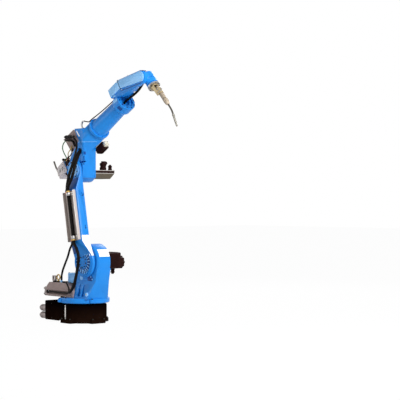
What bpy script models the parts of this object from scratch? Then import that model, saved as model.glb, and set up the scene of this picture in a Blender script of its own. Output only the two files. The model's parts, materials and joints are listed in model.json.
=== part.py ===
"""A six-axis floor robot for arc welding, about 2 m tall as it stands here.

Run with blender --background --python part.py, or from Blender's text editor.
The origin is where the swivel axis meets the floor. +X is the way the robot
faces, +Y its left, +Z up. The lower arm and its cables are on the -Y side, the
shoulder and elbow motors on the +Y side.

Each moving group hangs on an empty that lies on its joint's axis, so every
shape below is written in the plain frame of the link that carries it: along a
link is z on the lower arm, and x on the forearm, the wrist and the torch.
"""
import math

import bmesh
import bpy
from mathutils import Vector

# Fits between pieces
SEAT_GAP = 0.0003
RUN_GAP = 0.0055
OVERLAP = 0.004
SINK = 0.0012

# The chain of axes
SHOULDER_OFFSET = 0.150
SHOULDER_HEIGHT = 0.505
LOWER_ARM_LENGTH = 0.760
ELBOW_OFFSET = 0.200
FOREARM_LENGTH = 1.082
LOWER_ARM_LEAN = math.radians(11.0)
FOREARM_RISE = math.radians(30.0)
TORCH_DIP = math.radians(46.5)

# Base
BASE_RADIUS = 0.183
BASE_HEIGHT = 0.160
BASE_FILLET = 0.012
BASE_CORE_RADIUS = 0.158
FOOT_LIFT = 0.008
FOOT_RING_RADIUS = 0.189
FOOT_RING_TOP = 0.023
FOOT_REACH = 0.198
FOOT_WIDTH = 0.142
FOOT_HEIGHT = 0.031
REDUCER_RADIUS = 0.115
STRIP_WIDTH = 0.012
STRIP_THICKNESS = 0.005
BOX_FRONT = 0.020
BOX_BACK = 0.318
BOX_HALF_WIDTH = 0.180
BOX_BOTTOM = 0.012
BOX_LEDGE_DROP = 0.005
BOX_LEDGE = BASE_HEIGHT - BOX_LEDGE_DROP
BOX_RISE = 0.012
BOX_TOP = BASE_HEIGHT + BOX_RISE
BOX_EDGE = 0.008
BASE_PLUG_SHARE = 0.18
BASE_PLUG_RADIUS = (BOX_TOP - BOX_BOTTOM) * BASE_PLUG_SHARE
BASE_PLUG_LENGTH = 0.100
BASE_PLUG_SIDE = 0.148

# Swivel casting
FLANGE_RADIUS = 0.207
FLANGE_THICKNESS = 0.040
FLANGE_TOP = BASE_HEIGHT + RUN_GAP + FLANGE_THICKNESS
FLANGE_EDGE = 0.006
LUG_RADIUS = 0.022
LUG_HEIGHT = 0.030
HOUSING_RADIUS = 0.147
HOUSING_EDGE = 0.010
HOUSING_LEFT = 0.050
ARM_PLANE = 0.0935
REAR_FACE = 0.012
WEB_FOOT_FRONT = 0.192
WEB_FOOT_HALF_WIDTH = 0.122
WEB_FOOT_LEFT = 0.094
WEB_WAIST_DROP = 0.153
WEB_WAIST_HEIGHT = SHOULDER_HEIGHT - WEB_WAIST_DROP
WEB_WAIST_FRONT = 0.268
POCKET_DEPTH = 0.016
BOSS_RADIUS = 0.100

# Shoulder motor
MOTOR_FLANGE_SIZE = 0.166
MOTOR_FLANGE_THICKNESS = 0.024
MOTOR_BODY_SIZE = 0.132
MOTOR_BODY_LENGTH = 0.137
MOTOR_CAP_RADIUS = 0.052
MOTOR_CAP_LENGTH = 0.055
MOTOR_CAP_LOBES = 10
MOTOR_CAP_WAVE = 0.0050
MOTOR_CAP_DROP = 0.010
MOTOR_PLUG_RADIUS = 0.018
MOTOR_PLUG_LENGTH = 0.048
MOTOR_PLUG_PLACE = 0.126
MOTOR_EDGE = 0.010
MOTOR_RISE = 0.006

# Rear deck of the swivel
DECK_BACK = 0.360
DECK_HEIGHT = 0.1165
DECK_TOP = FLANGE_TOP + DECK_HEIGHT
DECK_TOP_SHARE = 0.90
DECK_NEAR = 0.132
DECK_FAR = 0.100
DECK_SLOT_RISE = 0.0205
DECK_SLOT_HEIGHT = 0.030
DECK_SLOT_LOW = FLANGE_TOP + DECK_SLOT_RISE
DECK_SLOT_HIGH = DECK_SLOT_LOW + DECK_SLOT_HEIGHT
DECK_SLOT_DEPTH = 0.022
DECK_SLOT_FRONT = 0.060
DECK_PLUG_RADIUS = 0.016
DECK_PLUG_LENGTH = 0.076
DECK_PLUG_SIDE = 0.100
SWIVEL_MOTOR_SIZE = 0.104
SWIVEL_MOTOR_HEIGHT = 0.084
SWIVEL_MOTOR_X = -0.062
SWIVEL_MOTOR_Y = -0.030
DECK_STRIP_LENGTH = 0.186
DECK_STRIP_WIDTH = 0.030
DECK_STRIP_THICKNESS = 0.009
DECK_STRIP_Y = -0.084
EYE_RADIUS = 0.021
EYE_WIRE = 0.0055
EYE_X = -0.255
FRAME_SIZE = 0.044
FRAME_WALL = 0.009
FRAME_DEPTH = 0.016
FRAME_X = -0.324
GLAND_RADIUS = 0.012
GLAND_HEIGHT = 0.020
GLAND_X = -0.163
GLAND_Y = -0.118
REAR_GLAND_RADIUS = 0.0142
REAR_GLAND_LENGTH = 0.030
REAR_GLAND_Y = -0.1245

# Lower arm casting
ARM_WIDE_OUT = 0.176
ARM_HUB_OUT = 0.124
ARM_FRONT = 0.086
ARM_REAR = 0.078
ARM_LOW_HUB_RADIUS = 0.128
ARM_TOP_HUB_RADIUS = 0.093
ARM_SHOULDER_Z = 0.166
ARM_CREST_DROP = 0.160
ARM_CREST_Z = LOWER_ARM_LENGTH - ARM_CREST_DROP
ARM_TAPER = 0.120
ARM_EDGE = 0.012
HUB_RIM = 0.014
HUB_RIM_RISE = 0.006
ARM_EYE_RADIUS = 0.020
ARM_EYE_DROP = 0.043
ARM_EYE_Z = ARM_CREST_Z - ARM_EYE_DROP

# Cable tray on the lower arm
TRAY_MARGIN = 0.012
TRAY_HALF_WIDTH = 0.072
TRAY_WALL = 0.003
TRAY_LIP = 0.026
CONDUIT_RADIUS = 0.0155
CLAMP_WIDTH = 0.078
CLAMP_HEIGHT = 0.026
CLAMP_WALL = 0.006

# Elbow casting
ELBOW_HUB_RADIUS = 0.095
ELBOW_HUB_START = 140.0
ELBOW_HUB_END = 290.0
ELBOW_BOSS_RADIUS = 0.070
ELBOW_LEFT = 0.050
ELBOW_FRONT = 0.087
ELBOW_CHIN = 0.086
ELBOW_CROWN_BACK = 0.035
ELBOW_EDGE = 0.008
ROLL_HOUSING_RADIUS = 0.0875
ELBOW_COVER = 0.0615
ELBOW_CROWN = ELBOW_OFFSET + ROLL_HOUSING_RADIUS + ELBOW_COVER
ROLL_HOUSING_BACK = 0.150
ROLL_HOUSING_FRONT = 0.316
ELBOW_RIB = 0.012
ELBOW_POCKET_DEPTH = 0.036
SOCKET_RADIUS = 0.029
SOCKET_X = 0.119
SOCKET_Z = 0.118
HOOK_RADIUS = 0.034
HOOK_WALL = 0.010
HOOK_WIDTH = 0.012
HOOK_FORWARD = 0.038
HOOK_SIDE = -0.040
HOOK_TOP_TURN = math.radians(75.0)

# Elbow motor
ELBOW_MOTOR_SIZE = 0.116
ELBOW_MOTOR_LENGTH = 0.215
ELBOW_MOTOR_TAPER = 0.045
ELBOW_MOTOR_DEPTH = 0.074
ELBOW_MOTOR_DROP = 0.028
ELBOW_PLUG_RADIUS = 0.028
ELBOW_PLUG_HEIGHT = 0.074
ELBOW_PLUG_SMALL_RADIUS = 0.017
ELBOW_PLUG_SMALL_HEIGHT = 0.046
ELBOW_PLUG_FORWARD = 0.026

# Roll motor under the tube's root
ROLL_MOTOR_SIZE = 0.060
ROLL_MOTOR_LENGTH = 0.096
ROLL_MOTOR_BACK = 0.150
ROLL_MOTOR_DROP = 0.094
ROLL_MOTOR_SIDE = 0.086
ROLL_CAP_SIZE = 0.040
ROLL_CAP_LENGTH = 0.026

# Bracket and plugs behind the elbow
BRACKET_SIDE = 0.052
BRACKET_WALL = 0.004
BRACKET_FLANGE = 0.060
BRACKET_PLUG_RADIUS = 0.014
BRACKET_PLUG_LENGTH = 0.058
BRACKET_RISE = 0.030
BRACKET_PLUG_FORWARD = -0.140
BRACKET_PLUG_UP = ELBOW_OFFSET * 1.4275

# Wire feeder behind the elbow
FEEDER_LENGTH = 0.125
FEEDER_HEIGHT = 0.104
FEEDER_WIDTH = 0.084
FEEDER_X = -0.236
FEEDER_DROP = 0.050
FEEDER_Z = ELBOW_OFFSET - FEEDER_DROP
FEEDER_TILT = math.radians(-4.0)
FEEDER_EDGE = 0.006
FEEDER_ARM_WIDTH = 0.050
FEEDER_ARM_THICKNESS = 0.014
FEEDER_DRIVE_RADIUS = 0.026
FEEDER_DRIVE_LENGTH = 0.062
KNOB_RADIUS = 0.012
KNOB_HEIGHT = 0.024
KNOB_SPACING = 0.034
INLET_RADIUS = 0.0075

# Forearm tube
TUBE_ROOT = 0.320
TUBE_SETBACK = 0.410
TUBE_END = FOREARM_LENGTH - TUBE_SETBACK
TUBE_ROOT_RADIUS = 0.074
TUBE_END_RADIUS = 0.066
TUBE_FLANGE_RADIUS = 0.092
TUBE_FLANGE_THICKNESS = 0.022
TUBE_FILLET = 0.012

# Front arm: hollow flange, neck and gear box
NOSE_RADIUS = 0.083
NOSE_LENGTH = 0.088
NOSE_END = TUBE_END + NOSE_LENGTH
NOSE_MOUTH_RADIUS = 0.058
NOSE_MOUTH_DEPTH = 0.016
NOSE_BORE_RADIUS = 0.036
NOSE_BORE_DEPTH = 0.040
BOX_NEAR = 0.086
BOX_FAR = 0.058
BOX_TIP_FAR = 0.053
BOX_REAR_TOP = 0.140
BOX_REAR_LOW = 0.060
BOX_REAR_GAP = 0.014
BOX_REAR_X = TUBE_END + BOX_REAR_GAP
BOX_KNEE_SETBACK = 0.246
BOX_KNEE_X = FOREARM_LENGTH - BOX_KNEE_SETBACK
BOX_TIP_RADIUS = 0.055
BOX_SOFT = 0.010
COVER_THICKNESS = 0.005
COVER_MARGIN = 0.006

# Wrist and tool flange
WRIST_RADIUS = 0.047
WRIST_BACK = 0.036
WRIST_FRONT = 0.088
WRIST_HUB_RADIUS = 0.043
WRIST_PIVOT_RADIUS = 0.030
WRIST_EDGE = 0.007
WRIST_BORE_RADIUS = 0.024
WRIST_BORE_DEPTH = 0.030
TOOL_RING_RADIUS = 0.051
TOOL_RING_THICKNESS = 0.014
TOOL_RING_BORE = 0.025

# Welding torch
TORCH_RISE = 0.022
TORCH_MOUNT_RADIUS = 0.034
TORCH_MOUNT_THICKNESS = 0.008
TORCH_ARM_WIDTH = 0.009
TORCH_CLAMP_START = 0.150
TORCH_CLAMP_LENGTH = 0.052
TORCH_CLAMP_RADIUS = 0.021
TORCH_BODY_RADIUS = 0.0145
TORCH_BODY_START = 0.128
TORCH_BODY_END = 0.326
TORCH_SLEEVE_RADIUS = 0.019
TORCH_NECK_RADIUS = 0.0072
TORCH_NECK_BEND = math.radians(19.0)
TORCH_NECK_BEND_RADIUS = 0.230
TORCH_NECK_STRAIGHT = 0.020
TORCH_NUT_RADIUS = 0.0105
TORCH_NUT_LENGTH = 0.014
NOZZLE_RADIUS = 0.0085
NOZZLE_TIP_RADIUS = 0.0065
NOZZLE_BORE_RADIUS = 0.0035
NOZZLE_BORE_DEPTH = 0.012
NOZZLE_LENGTH = 0.088

# Cables held at both ends: their radii, and the grid that their routes are drawn on
TORCH_CABLE_RADIUS = 0.010
THIN_CABLE_RADIUS = 0.0085
THICK_CABLE_RADIUS = 0.0125
CABLE_CONDUIT_RADIUS = 0.0045
ROUTE_GRID = 0.010
ROUTE_STEP_SHARE = 2.4

# How round things are made
ROUND_STEPS = 40
SMALL_STEPS = 16
CORNER_STEPS = 4
SMOOTH_ANGLE = math.radians(32.0)

# Colour, roughness and metallic value of each finish
FINISHES = {
    "blue_paint": ((0.018, 0.155, 0.62, 1.0), 0.32, 0.0),
    "pale_blue_paint": ((0.20, 0.46, 0.86, 1.0), 0.35, 0.0),
    "black_paint": ((0.010, 0.008, 0.007, 1.0), 0.38, 0.0),
    "motor_black": ((0.020, 0.012, 0.011, 1.0), 0.42, 0.0),
    "cover_grey": ((0.36, 0.31, 0.285, 1.0), 0.5, 0.0),
    "plug_grey": ((0.30, 0.27, 0.27, 1.0), 0.45, 0.6),
    "rubber_black": ((0.012, 0.010, 0.009, 1.0), 0.65, 0.0),
    "bright_metal": ((0.62, 0.60, 0.58, 1.0), 0.28, 1.0),
    "brass": ((0.55, 0.40, 0.16, 1.0), 0.3, 1.0),
    "olive_dark": ((0.075, 0.07, 0.035, 1.0), 0.5, 0.0),
}


def clear_scene():
    """Remove every object that the scene starts with."""
    for old in list(bpy.data.objects):
        bpy.data.objects.remove(old, do_unlink=True)


def finish(name):
    """Return the named material, made the first time it is asked for."""
    if name in bpy.data.materials:
        return bpy.data.materials[name]
    colour, roughness, metallic = FINISHES[name]
    material = bpy.data.materials.new(name)
    material.use_nodes = True
    shader = material.node_tree.nodes["Principled BSDF"]
    shader.inputs["Base Color"].default_value = colour
    shader.inputs["Roughness"].default_value = roughness
    shader.inputs["Metallic"].default_value = metallic
    return material


def axis_empty(name, parent, location, turn_about_y=0.0):
    """An empty on a joint's axis, which carries the link after it."""
    empty = bpy.data.objects.new(name, None)
    bpy.context.scene.collection.objects.link(empty)
    empty.parent = parent
    empty.location = location
    empty.rotation_euler = (0.0, turn_about_y, 0.0)
    return empty


def add_object(name, mesh, link, paint, location=(0.0, 0.0, 0.0), tilt=(0.0, 0.0, 0.0)):
    """Put a mesh in the scene on its link, with its paint, shaded smooth."""
    mesh.shade_smooth()
    mesh.set_sharp_from_angle(angle=SMOOTH_ANGLE)
    piece = bpy.data.objects.new(name, mesh)
    bpy.context.scene.collection.objects.link(piece)
    piece.parent = link
    piece.location = location
    piece.rotation_euler = tilt
    piece.data.materials.append(finish(paint))
    return piece


def mesh_from(bm, name):
    """Close a bmesh into a mesh whose faces point out."""
    bmesh.ops.remove_doubles(bm, verts=bm.verts, dist=SEAT_GAP / 10)
    bmesh.ops.recalc_face_normals(bm, faces=bm.faces)
    mesh = bpy.data.meshes.new(name)
    bm.to_mesh(mesh)
    bm.free()
    return mesh


def to_space(axis, first, second, along):
    """A point of an outline that lies across the given axis."""
    if axis == "X":
        return Vector((along, first, second))
    if axis == "Y":
        return Vector((first, along, second))
    return Vector((first, second, along))


def plate_mesh(name, outline, axis, low, high):
    """An outline pushed out along an axis from low to high."""
    bm = bmesh.new()
    corners = [bm.verts.new(to_space(axis, a, b, low)) for a, b in outline]
    face = bm.faces.new(corners)
    pushed = bmesh.ops.extrude_face_region(bm, geom=[face])
    moved = [item for item in pushed["geom"] if isinstance(item, bmesh.types.BMVert)]
    bmesh.ops.translate(bm, verts=moved, vec=to_space(axis, 0.0, 0.0, high - low))
    return mesh_from(bm, name)


def turned_mesh(name, profile, axis, steps=ROUND_STEPS):
    """A profile of (radius, place along the axis) spun once round the axis."""
    bm = bmesh.new()
    points = [bm.verts.new(to_space(axis, radius, 0.0, along)) for radius, along in profile]
    edges = [bm.edges.new(pair) for pair in zip(points, points[1:])]
    bmesh.ops.spin(bm, geom=points + edges, cent=(0.0, 0.0, 0.0), axis=to_space(axis, 0.0, 0.0, 1.0),
                   angle=math.tau, steps=steps, use_merge=True)
    return mesh_from(bm, name)


def ring_mesh(name, profile, axis, steps=ROUND_STEPS):
    """A closed profile, clear of the axis, spun once round it."""
    return turned_mesh(name, list(profile) + [profile[0]], axis, steps)


def hull_mesh(name, points):
    """The skin stretched over a cloud of points."""
    bm = bmesh.new()
    for point in points:
        bm.verts.new(point)
    hull = bmesh.ops.convex_hull(bm, input=bm.verts)
    unused = [item for item in hull["geom_interior"] if isinstance(item, bmesh.types.BMVert)]
    bmesh.ops.delete(bm, geom=unused, context="VERTS")
    return mesh_from(bm, name)


def rectangle(low_a, high_a, low_b, high_b):
    """The four corners of a rectangle."""
    return [(low_a, low_b), (high_a, low_b), (high_a, high_b), (low_a, high_b)]


def circle(centre, radius, steps=ROUND_STEPS):
    """Points round a circle."""
    turns = [math.tau * step / steps for step in range(steps)]
    return [(centre[0] + radius * math.cos(turn), centre[1] + radius * math.sin(turn)) for turn in turns]


def arc(centre, radius, start, end, steps=ROUND_STEPS // 4):
    """Points along an arc from one angle to another, in degrees."""
    turns = [math.radians(start + (end - start) * step / steps) for step in range(steps + 1)]
    return [(centre[0] + radius * math.cos(turn), centre[1] + radius * math.sin(turn)) for turn in turns]


def rounded(outline, radius, steps=CORNER_STEPS):
    """An outline with each of its corners turned into an arc."""
    result = []
    count = len(outline)
    for index, corner in enumerate(outline):
        here = Vector(corner)
        before = (Vector(outline[index - 1]) - here).normalized()
        after = (Vector(outline[(index + 1) % count]) - here).normalized()
        half = before.angle(after) / 2
        start = here + before * (radius / math.tan(half))
        end = here + after * (radius / math.tan(half))
        centre = here + (before + after).normalized() * (radius / math.sin(half))
        for step in range(steps + 1):
            share = step / steps
            spoke = (start - centre).lerp(end - centre, share).normalized() * radius
            result.append(tuple(centre + spoke))
    return result


def disc_profile(radius, low, high, edge):
    """The profile of a disc whose rims are rounded off by a chamfer."""
    return [(0.0, low), (radius - edge, low), (radius, low + edge),
            (radius, high - edge), (radius - edge, high), (0.0, high)]


def soften(piece, width, segments=2):
    """Round the piece's edges with a Bevel modifier."""
    bevel = piece.modifiers.new("edges", "BEVEL")
    bevel.width = width
    bevel.segments = segments
    bevel.limit_method = "ANGLE"
    bevel.angle_limit = SMOOTH_ANGLE
    return piece


def combine(piece, operation, helpers):
    """Join helper shapes to a piece, or cut them out of it."""
    for helper in helpers:
        helper.hide_render = True
        helper.display_type = "WIRE"
        step = piece.modifiers.new(helper.name, "BOOLEAN")
        step.operation = operation
        step.solver = "EXACT"
        step.object = helper
    return piece


def join(piece, *helpers):
    """Fuse helper shapes with a piece."""
    return combine(piece, "UNION", helpers)


def cut(piece, *helpers):
    """Cut helper shapes out of a piece."""
    return combine(piece, "DIFFERENCE", helpers)


def smooth_route(points, step):
    """Points every step along a smooth curve through the given points."""
    places = [Vector(point) for point in points]
    places = [places[0] * 2 - places[1]] + places + [places[-1] * 2 - places[-2]]
    result = []
    for before, start, end, after in zip(places, places[1:], places[2:], places[3:]):
        count = max(1, round((end - start).length / step))
        for index in range(count):
            share = index / count
            result.append(curve_point(before, start, end, after, share))
    result.append(places[-2])
    return result


def curve_point(before, start, end, after, share):
    """A point on the smooth curve between start and end."""
    square = share * share
    cube = square * share
    return ((start * 2) + (end - before) * share
            + (before * 2 - start * 5 + end * 4 - after) * square
            + (start * 3 - before - end * 3 + after) * cube) / 2


def cable(name, points, radius, link, paint="rubber_black"):
    """A round cable along a smooth route, with closed ends."""
    curve = bpy.data.curves.new(name, "CURVE")
    curve.dimensions = "3D"
    curve.bevel_depth = radius
    curve.bevel_resolution = 2
    curve.use_fill_caps = True
    route = smooth_route(points, radius * 2 * ROUTE_STEP_SHARE)
    spline = curve.splines.new("POLY")
    spline.points.add(len(route) - 1)
    for spot, place in zip(spline.points, route):
        spot.co = (place.x, place.y, place.z, 1.0)
    piece = bpy.data.objects.new(name, curve)
    bpy.context.scene.collection.objects.link(piece)
    piece.parent = link
    curve.materials.append(finish(paint))
    return piece


def base_profile():
    """Half the outline of the round base, from its underside to the top disc."""
    top = BASE_HEIGHT
    return [(0.0, 0.0), (BASE_CORE_RADIUS, 0.0), (BASE_CORE_RADIUS, FOOT_LIFT), (FOOT_RING_RADIUS, FOOT_LIFT),
            (FOOT_RING_RADIUS, FOOT_RING_TOP), (BASE_RADIUS, FOOT_RING_TOP + BASE_FILLET / 2),
            (BASE_RADIUS, top - BASE_FILLET), (BASE_RADIUS - BASE_FILLET, top), (REDUCER_RADIUS, top),
            (REDUCER_RADIUS, top + RUN_GAP - SEAT_GAP), (0.0, top + RUN_GAP - SEAT_GAP)]


def build_base(root):
    """The round base, its box of connections and the plugs behind it."""
    base = add_object("base_casting", turned_mesh("base_casting", base_profile(), "Z"), root, "black_paint")
    half = FOOT_WIDTH / 2
    inner = BASE_CORE_RADIUS - FOOT_WIDTH / 2
    pad = rounded(rectangle(inner, FOOT_REACH, -half, half), FOOT_LIFT)
    for index in range(4):
        foot = add_object(f"foot_{index}", plate_mesh("foot", pad, "Z", 0.0, FOOT_HEIGHT), root, "black_paint",
                          tilt=(0.0, 0.0, index * math.pi / 2))
        join(base, foot)

    strip = rectangle(-BOX_FRONT, -BOX_FRONT + STRIP_WIDTH, BASE_RADIUS + SEAT_GAP, BASE_RADIUS + STRIP_THICKNESS)
    for name, side in (("left_base_strip", 1.0), ("right_base_strip", -1.0)):
        outline = [(x, side * y) for x, y in strip]
        add_object(name, plate_mesh(name, outline, "Z", FOOT_HEIGHT + SEAT_GAP, BOX_LEDGE - BOX_EDGE), root,
                   "plug_grey")

    box = rectangle(-BOX_HALF_WIDTH, BOX_HALF_WIDTH, BOX_BOTTOM, BOX_TOP)
    shell = add_object("base_connection_box", plate_mesh("base_connection_box", box, "X", -BOX_BACK,
                                                         -BOX_FRONT - SEAT_GAP), root, "black_paint")
    soften(shell, BOX_EDGE)
    step = FOOT_HEIGHT + SEAT_GAP
    foot_corner = math.hypot(FOOT_REACH, FOOT_WIDTH / 2)
    sweep = FLANGE_RADIUS + LUG_RADIUS + RUN_GAP
    roof = BOX_TOP + OVERLAP
    room = [(0.0, -OVERLAP), (foot_corner, -OVERLAP), (foot_corner, step), (BASE_RADIUS + SEAT_GAP, step),
            (BASE_RADIUS + SEAT_GAP, BOX_LEDGE), (sweep, BOX_LEDGE), (sweep, roof), (0.0, roof)]
    cut(shell, add_object("base_room", turned_mesh("base_room", room, "Z"), root, "black_paint"))
    for name, share in (("base_power_plug", 0.20), ("base_signal_plug", 0.58)):
        height = BOX_BOTTOM + (BOX_TOP - BOX_BOTTOM) * share
        build_plug(name, root, (-BOX_BACK - SEAT_GAP, -BASE_PLUG_SIDE, height),
                   BASE_PLUG_RADIUS, BASE_PLUG_LENGTH, "X", -1.0, "plug_grey")


def build_plug(name, link, place, radius, length, axis, way, paint):
    """A round multi-pin plug: a collar, a waist, a knurled nut and a cable end."""
    profile = [(0.0, 0.0), (radius, 0.0), (radius, way * length * 0.30), (radius * 0.82, way * length * 0.34),
               (radius * 0.82, way * length * 0.46), (radius * 0.94, way * length * 0.50),
               (radius * 0.94, way * length * 0.78), (radius * 0.62, way * length * 0.84),
               (radius * 0.55, way * length), (0.0, way * length)]
    return add_object(name, turned_mesh(name, profile, axis, SMALL_STEPS), link, paint, place)


def swivel_flange_profile():
    """Half the outline of the round flange that turns on the base."""
    low = BASE_HEIGHT + RUN_GAP
    return disc_profile(FLANGE_RADIUS, low, FLANGE_TOP, FLANGE_EDGE)


def box_points(level, low_x, high_x, low_y, high_y):
    """Four points of a level section at the given height."""
    return [(x, y, level) for x in (low_x, high_x) for y in (low_y, high_y)]


def build_web(swivel):
    """The web that narrows from the flange to the shoulder housing."""
    floor = FLANGE_TOP - OVERLAP
    near = ARM_PLANE - RUN_GAP - SINK
    far = HOUSING_LEFT - SINK
    foot = box_points(floor, REAR_FACE, WEB_FOOT_FRONT, -WEB_FOOT_HALF_WIDTH, WEB_FOOT_LEFT)
    waist = box_points(WEB_WAIST_HEIGHT, REAR_FACE, WEB_WAIST_FRONT, -near, far)
    web = add_object("web", hull_mesh("web", foot + waist), swivel, "blue_paint")
    sunk = box_points(WEB_WAIST_HEIGHT - OVERLAP, REAR_FACE + SINK, WEB_WAIST_FRONT - OVERLAP, -near, far)
    sides = box_points(WEB_WAIST_HEIGHT + SINK, REAR_FACE, WEB_WAIST_FRONT, -near, far)
    crest = box_points(SHOULDER_HEIGHT - HOUSING_RADIUS / 3, REAR_FACE, SHOULDER_OFFSET + HOUSING_RADIUS * 0.95,
                       -near, far)
    join(web, add_object("web_crest", hull_mesh("web_crest", sunk + sides + crest), swivel, "blue_paint"))
    return soften(web, HOUSING_EDGE)


def build_swivel(swivel):
    """The casting that turns on the base and holds the shoulder joint."""
    near = ARM_PLANE - RUN_GAP
    casting = add_object("swivel_casting", turned_mesh("swivel_casting", swivel_flange_profile(), "Z"), swivel,
                         "blue_paint")
    web = build_web(swivel)
    place = (SHOULDER_OFFSET, 0.0, SHOULDER_HEIGHT)
    housing = add_object("housing", turned_mesh("housing", disc_profile(
        HOUSING_RADIUS, -near, HOUSING_LEFT, HOUSING_EDGE), "Y"), swivel, "blue_paint", place)
    boss = add_object("boss", turned_mesh("boss", [
        (0.0, -near + OVERLAP), (BOSS_RADIUS, -near + OVERLAP), (BOSS_RADIUS, -ARM_PLANE + SEAT_GAP),
        (0.0, -ARM_PLANE + SEAT_GAP)], "Y"), swivel, "blue_paint", place)
    join(casting, web, housing, boss)
    low = BASE_HEIGHT + RUN_GAP + OVERLAP
    for index, turn in enumerate((200.0, 250.0, 340.0)):
        spot = (FLANGE_RADIUS * math.cos(math.radians(turn)), FLANGE_RADIUS * math.sin(math.radians(turn)), low)
        lug = add_object(f"lug_{index}", turned_mesh("lug", disc_profile(
            LUG_RADIUS, 0.0, LUG_HEIGHT, FLANGE_EDGE), "Z", SMALL_STEPS), swivel, "blue_paint", spot)
        join(casting, lug)
    pocket_low = FLANGE_TOP + POCKET_DEPTH
    for index, (left, right) in enumerate(((0.20, 0.42), (0.50, 0.72))):
        width = WEB_FOOT_FRONT - REAR_FACE
        outline = rounded([(REAR_FACE + width * left, pocket_low), (REAR_FACE + width * right, pocket_low),
                           (REAR_FACE + width * (left + right) / 2, WEB_WAIST_HEIGHT)], POCKET_DEPTH / 3)
        pocket = add_object(f"pocket_{index}", plate_mesh("pocket", outline, "Y", -WEB_FOOT_HALF_WIDTH - OVERLAP,
                                                          -near + POCKET_DEPTH), swivel, "blue_paint")
        cut(casting, pocket)


def lobed_outline(radius, wave, lobes, steps_per_lobe=4):
    """A round outline with shallow lobes."""
    count = lobes * steps_per_lobe
    turns = [math.tau * step / count for step in range(count)]
    return [((radius + wave * math.cos(lobes * turn)) * math.cos(turn),
             (radius + wave * math.cos(lobes * turn)) * math.sin(turn)) for turn in turns]


def build_shoulder_motor(swivel):
    """The motor on the left of the shoulder housing, with its lobed end cap."""
    place = (SHOULDER_OFFSET, 0.0, SHOULDER_HEIGHT)
    start = HOUSING_LEFT + SEAT_GAP
    half = MOTOR_FLANGE_SIZE / 2
    motor = add_object("shoulder_motor", plate_mesh("shoulder_motor", rounded(
        rectangle(-half, half, -half - MOTOR_RISE, half - MOTOR_RISE), MOTOR_EDGE * 2), "Y", start,
        start + MOTOR_FLANGE_THICKNESS), swivel, "motor_black", place)
    half = MOTOR_BODY_SIZE / 2
    body_end = start + MOTOR_FLANGE_THICKNESS + MOTOR_BODY_LENGTH
    body = add_object("body", plate_mesh("body", rounded(
        rectangle(-half, half, -half + MOTOR_RISE, half + MOTOR_RISE), MOTOR_EDGE), "Y", start + OVERLAP, body_end),
        swivel, "motor_black", place)
    underside = SHOULDER_HEIGHT - half + MOTOR_RISE
    plug = build_plug("shoulder_motor_plug", swivel, (SHOULDER_OFFSET, start + MOTOR_PLUG_PLACE, underside + SINK),
                      MOTOR_PLUG_RADIUS, MOTOR_PLUG_LENGTH, "Z", -1.0, "motor_black")
    join(motor, body, plug)
    cap_place = (SHOULDER_OFFSET, 0.0, SHOULDER_HEIGHT - MOTOR_CAP_DROP)
    cap = add_object("shoulder_motor_cap", plate_mesh("shoulder_motor_cap", lobed_outline(
        MOTOR_CAP_RADIUS, MOTOR_CAP_WAVE, MOTOR_CAP_LOBES), "Y", body_end + SEAT_GAP,
        body_end + SEAT_GAP + MOTOR_CAP_LENGTH), swivel, "motor_black", cap_place)
    soften(cap, MOTOR_CAP_WAVE, 1)


def deck_outline():
    """The side of the sheet cover behind the swivel casting."""
    floor = FLANGE_TOP + SEAT_GAP
    front = REAR_FACE - SEAT_GAP
    height = DECK_TOP - floor
    return [(-DECK_BACK, floor), (front, floor), (front, floor + height * 0.42),
            (front - height * 0.22, floor + height * 0.72), (-DECK_BACK * 0.26, DECK_TOP),
            (-DECK_BACK * DECK_TOP_SHARE, DECK_TOP), (-DECK_BACK, floor + height * 0.72)]


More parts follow.
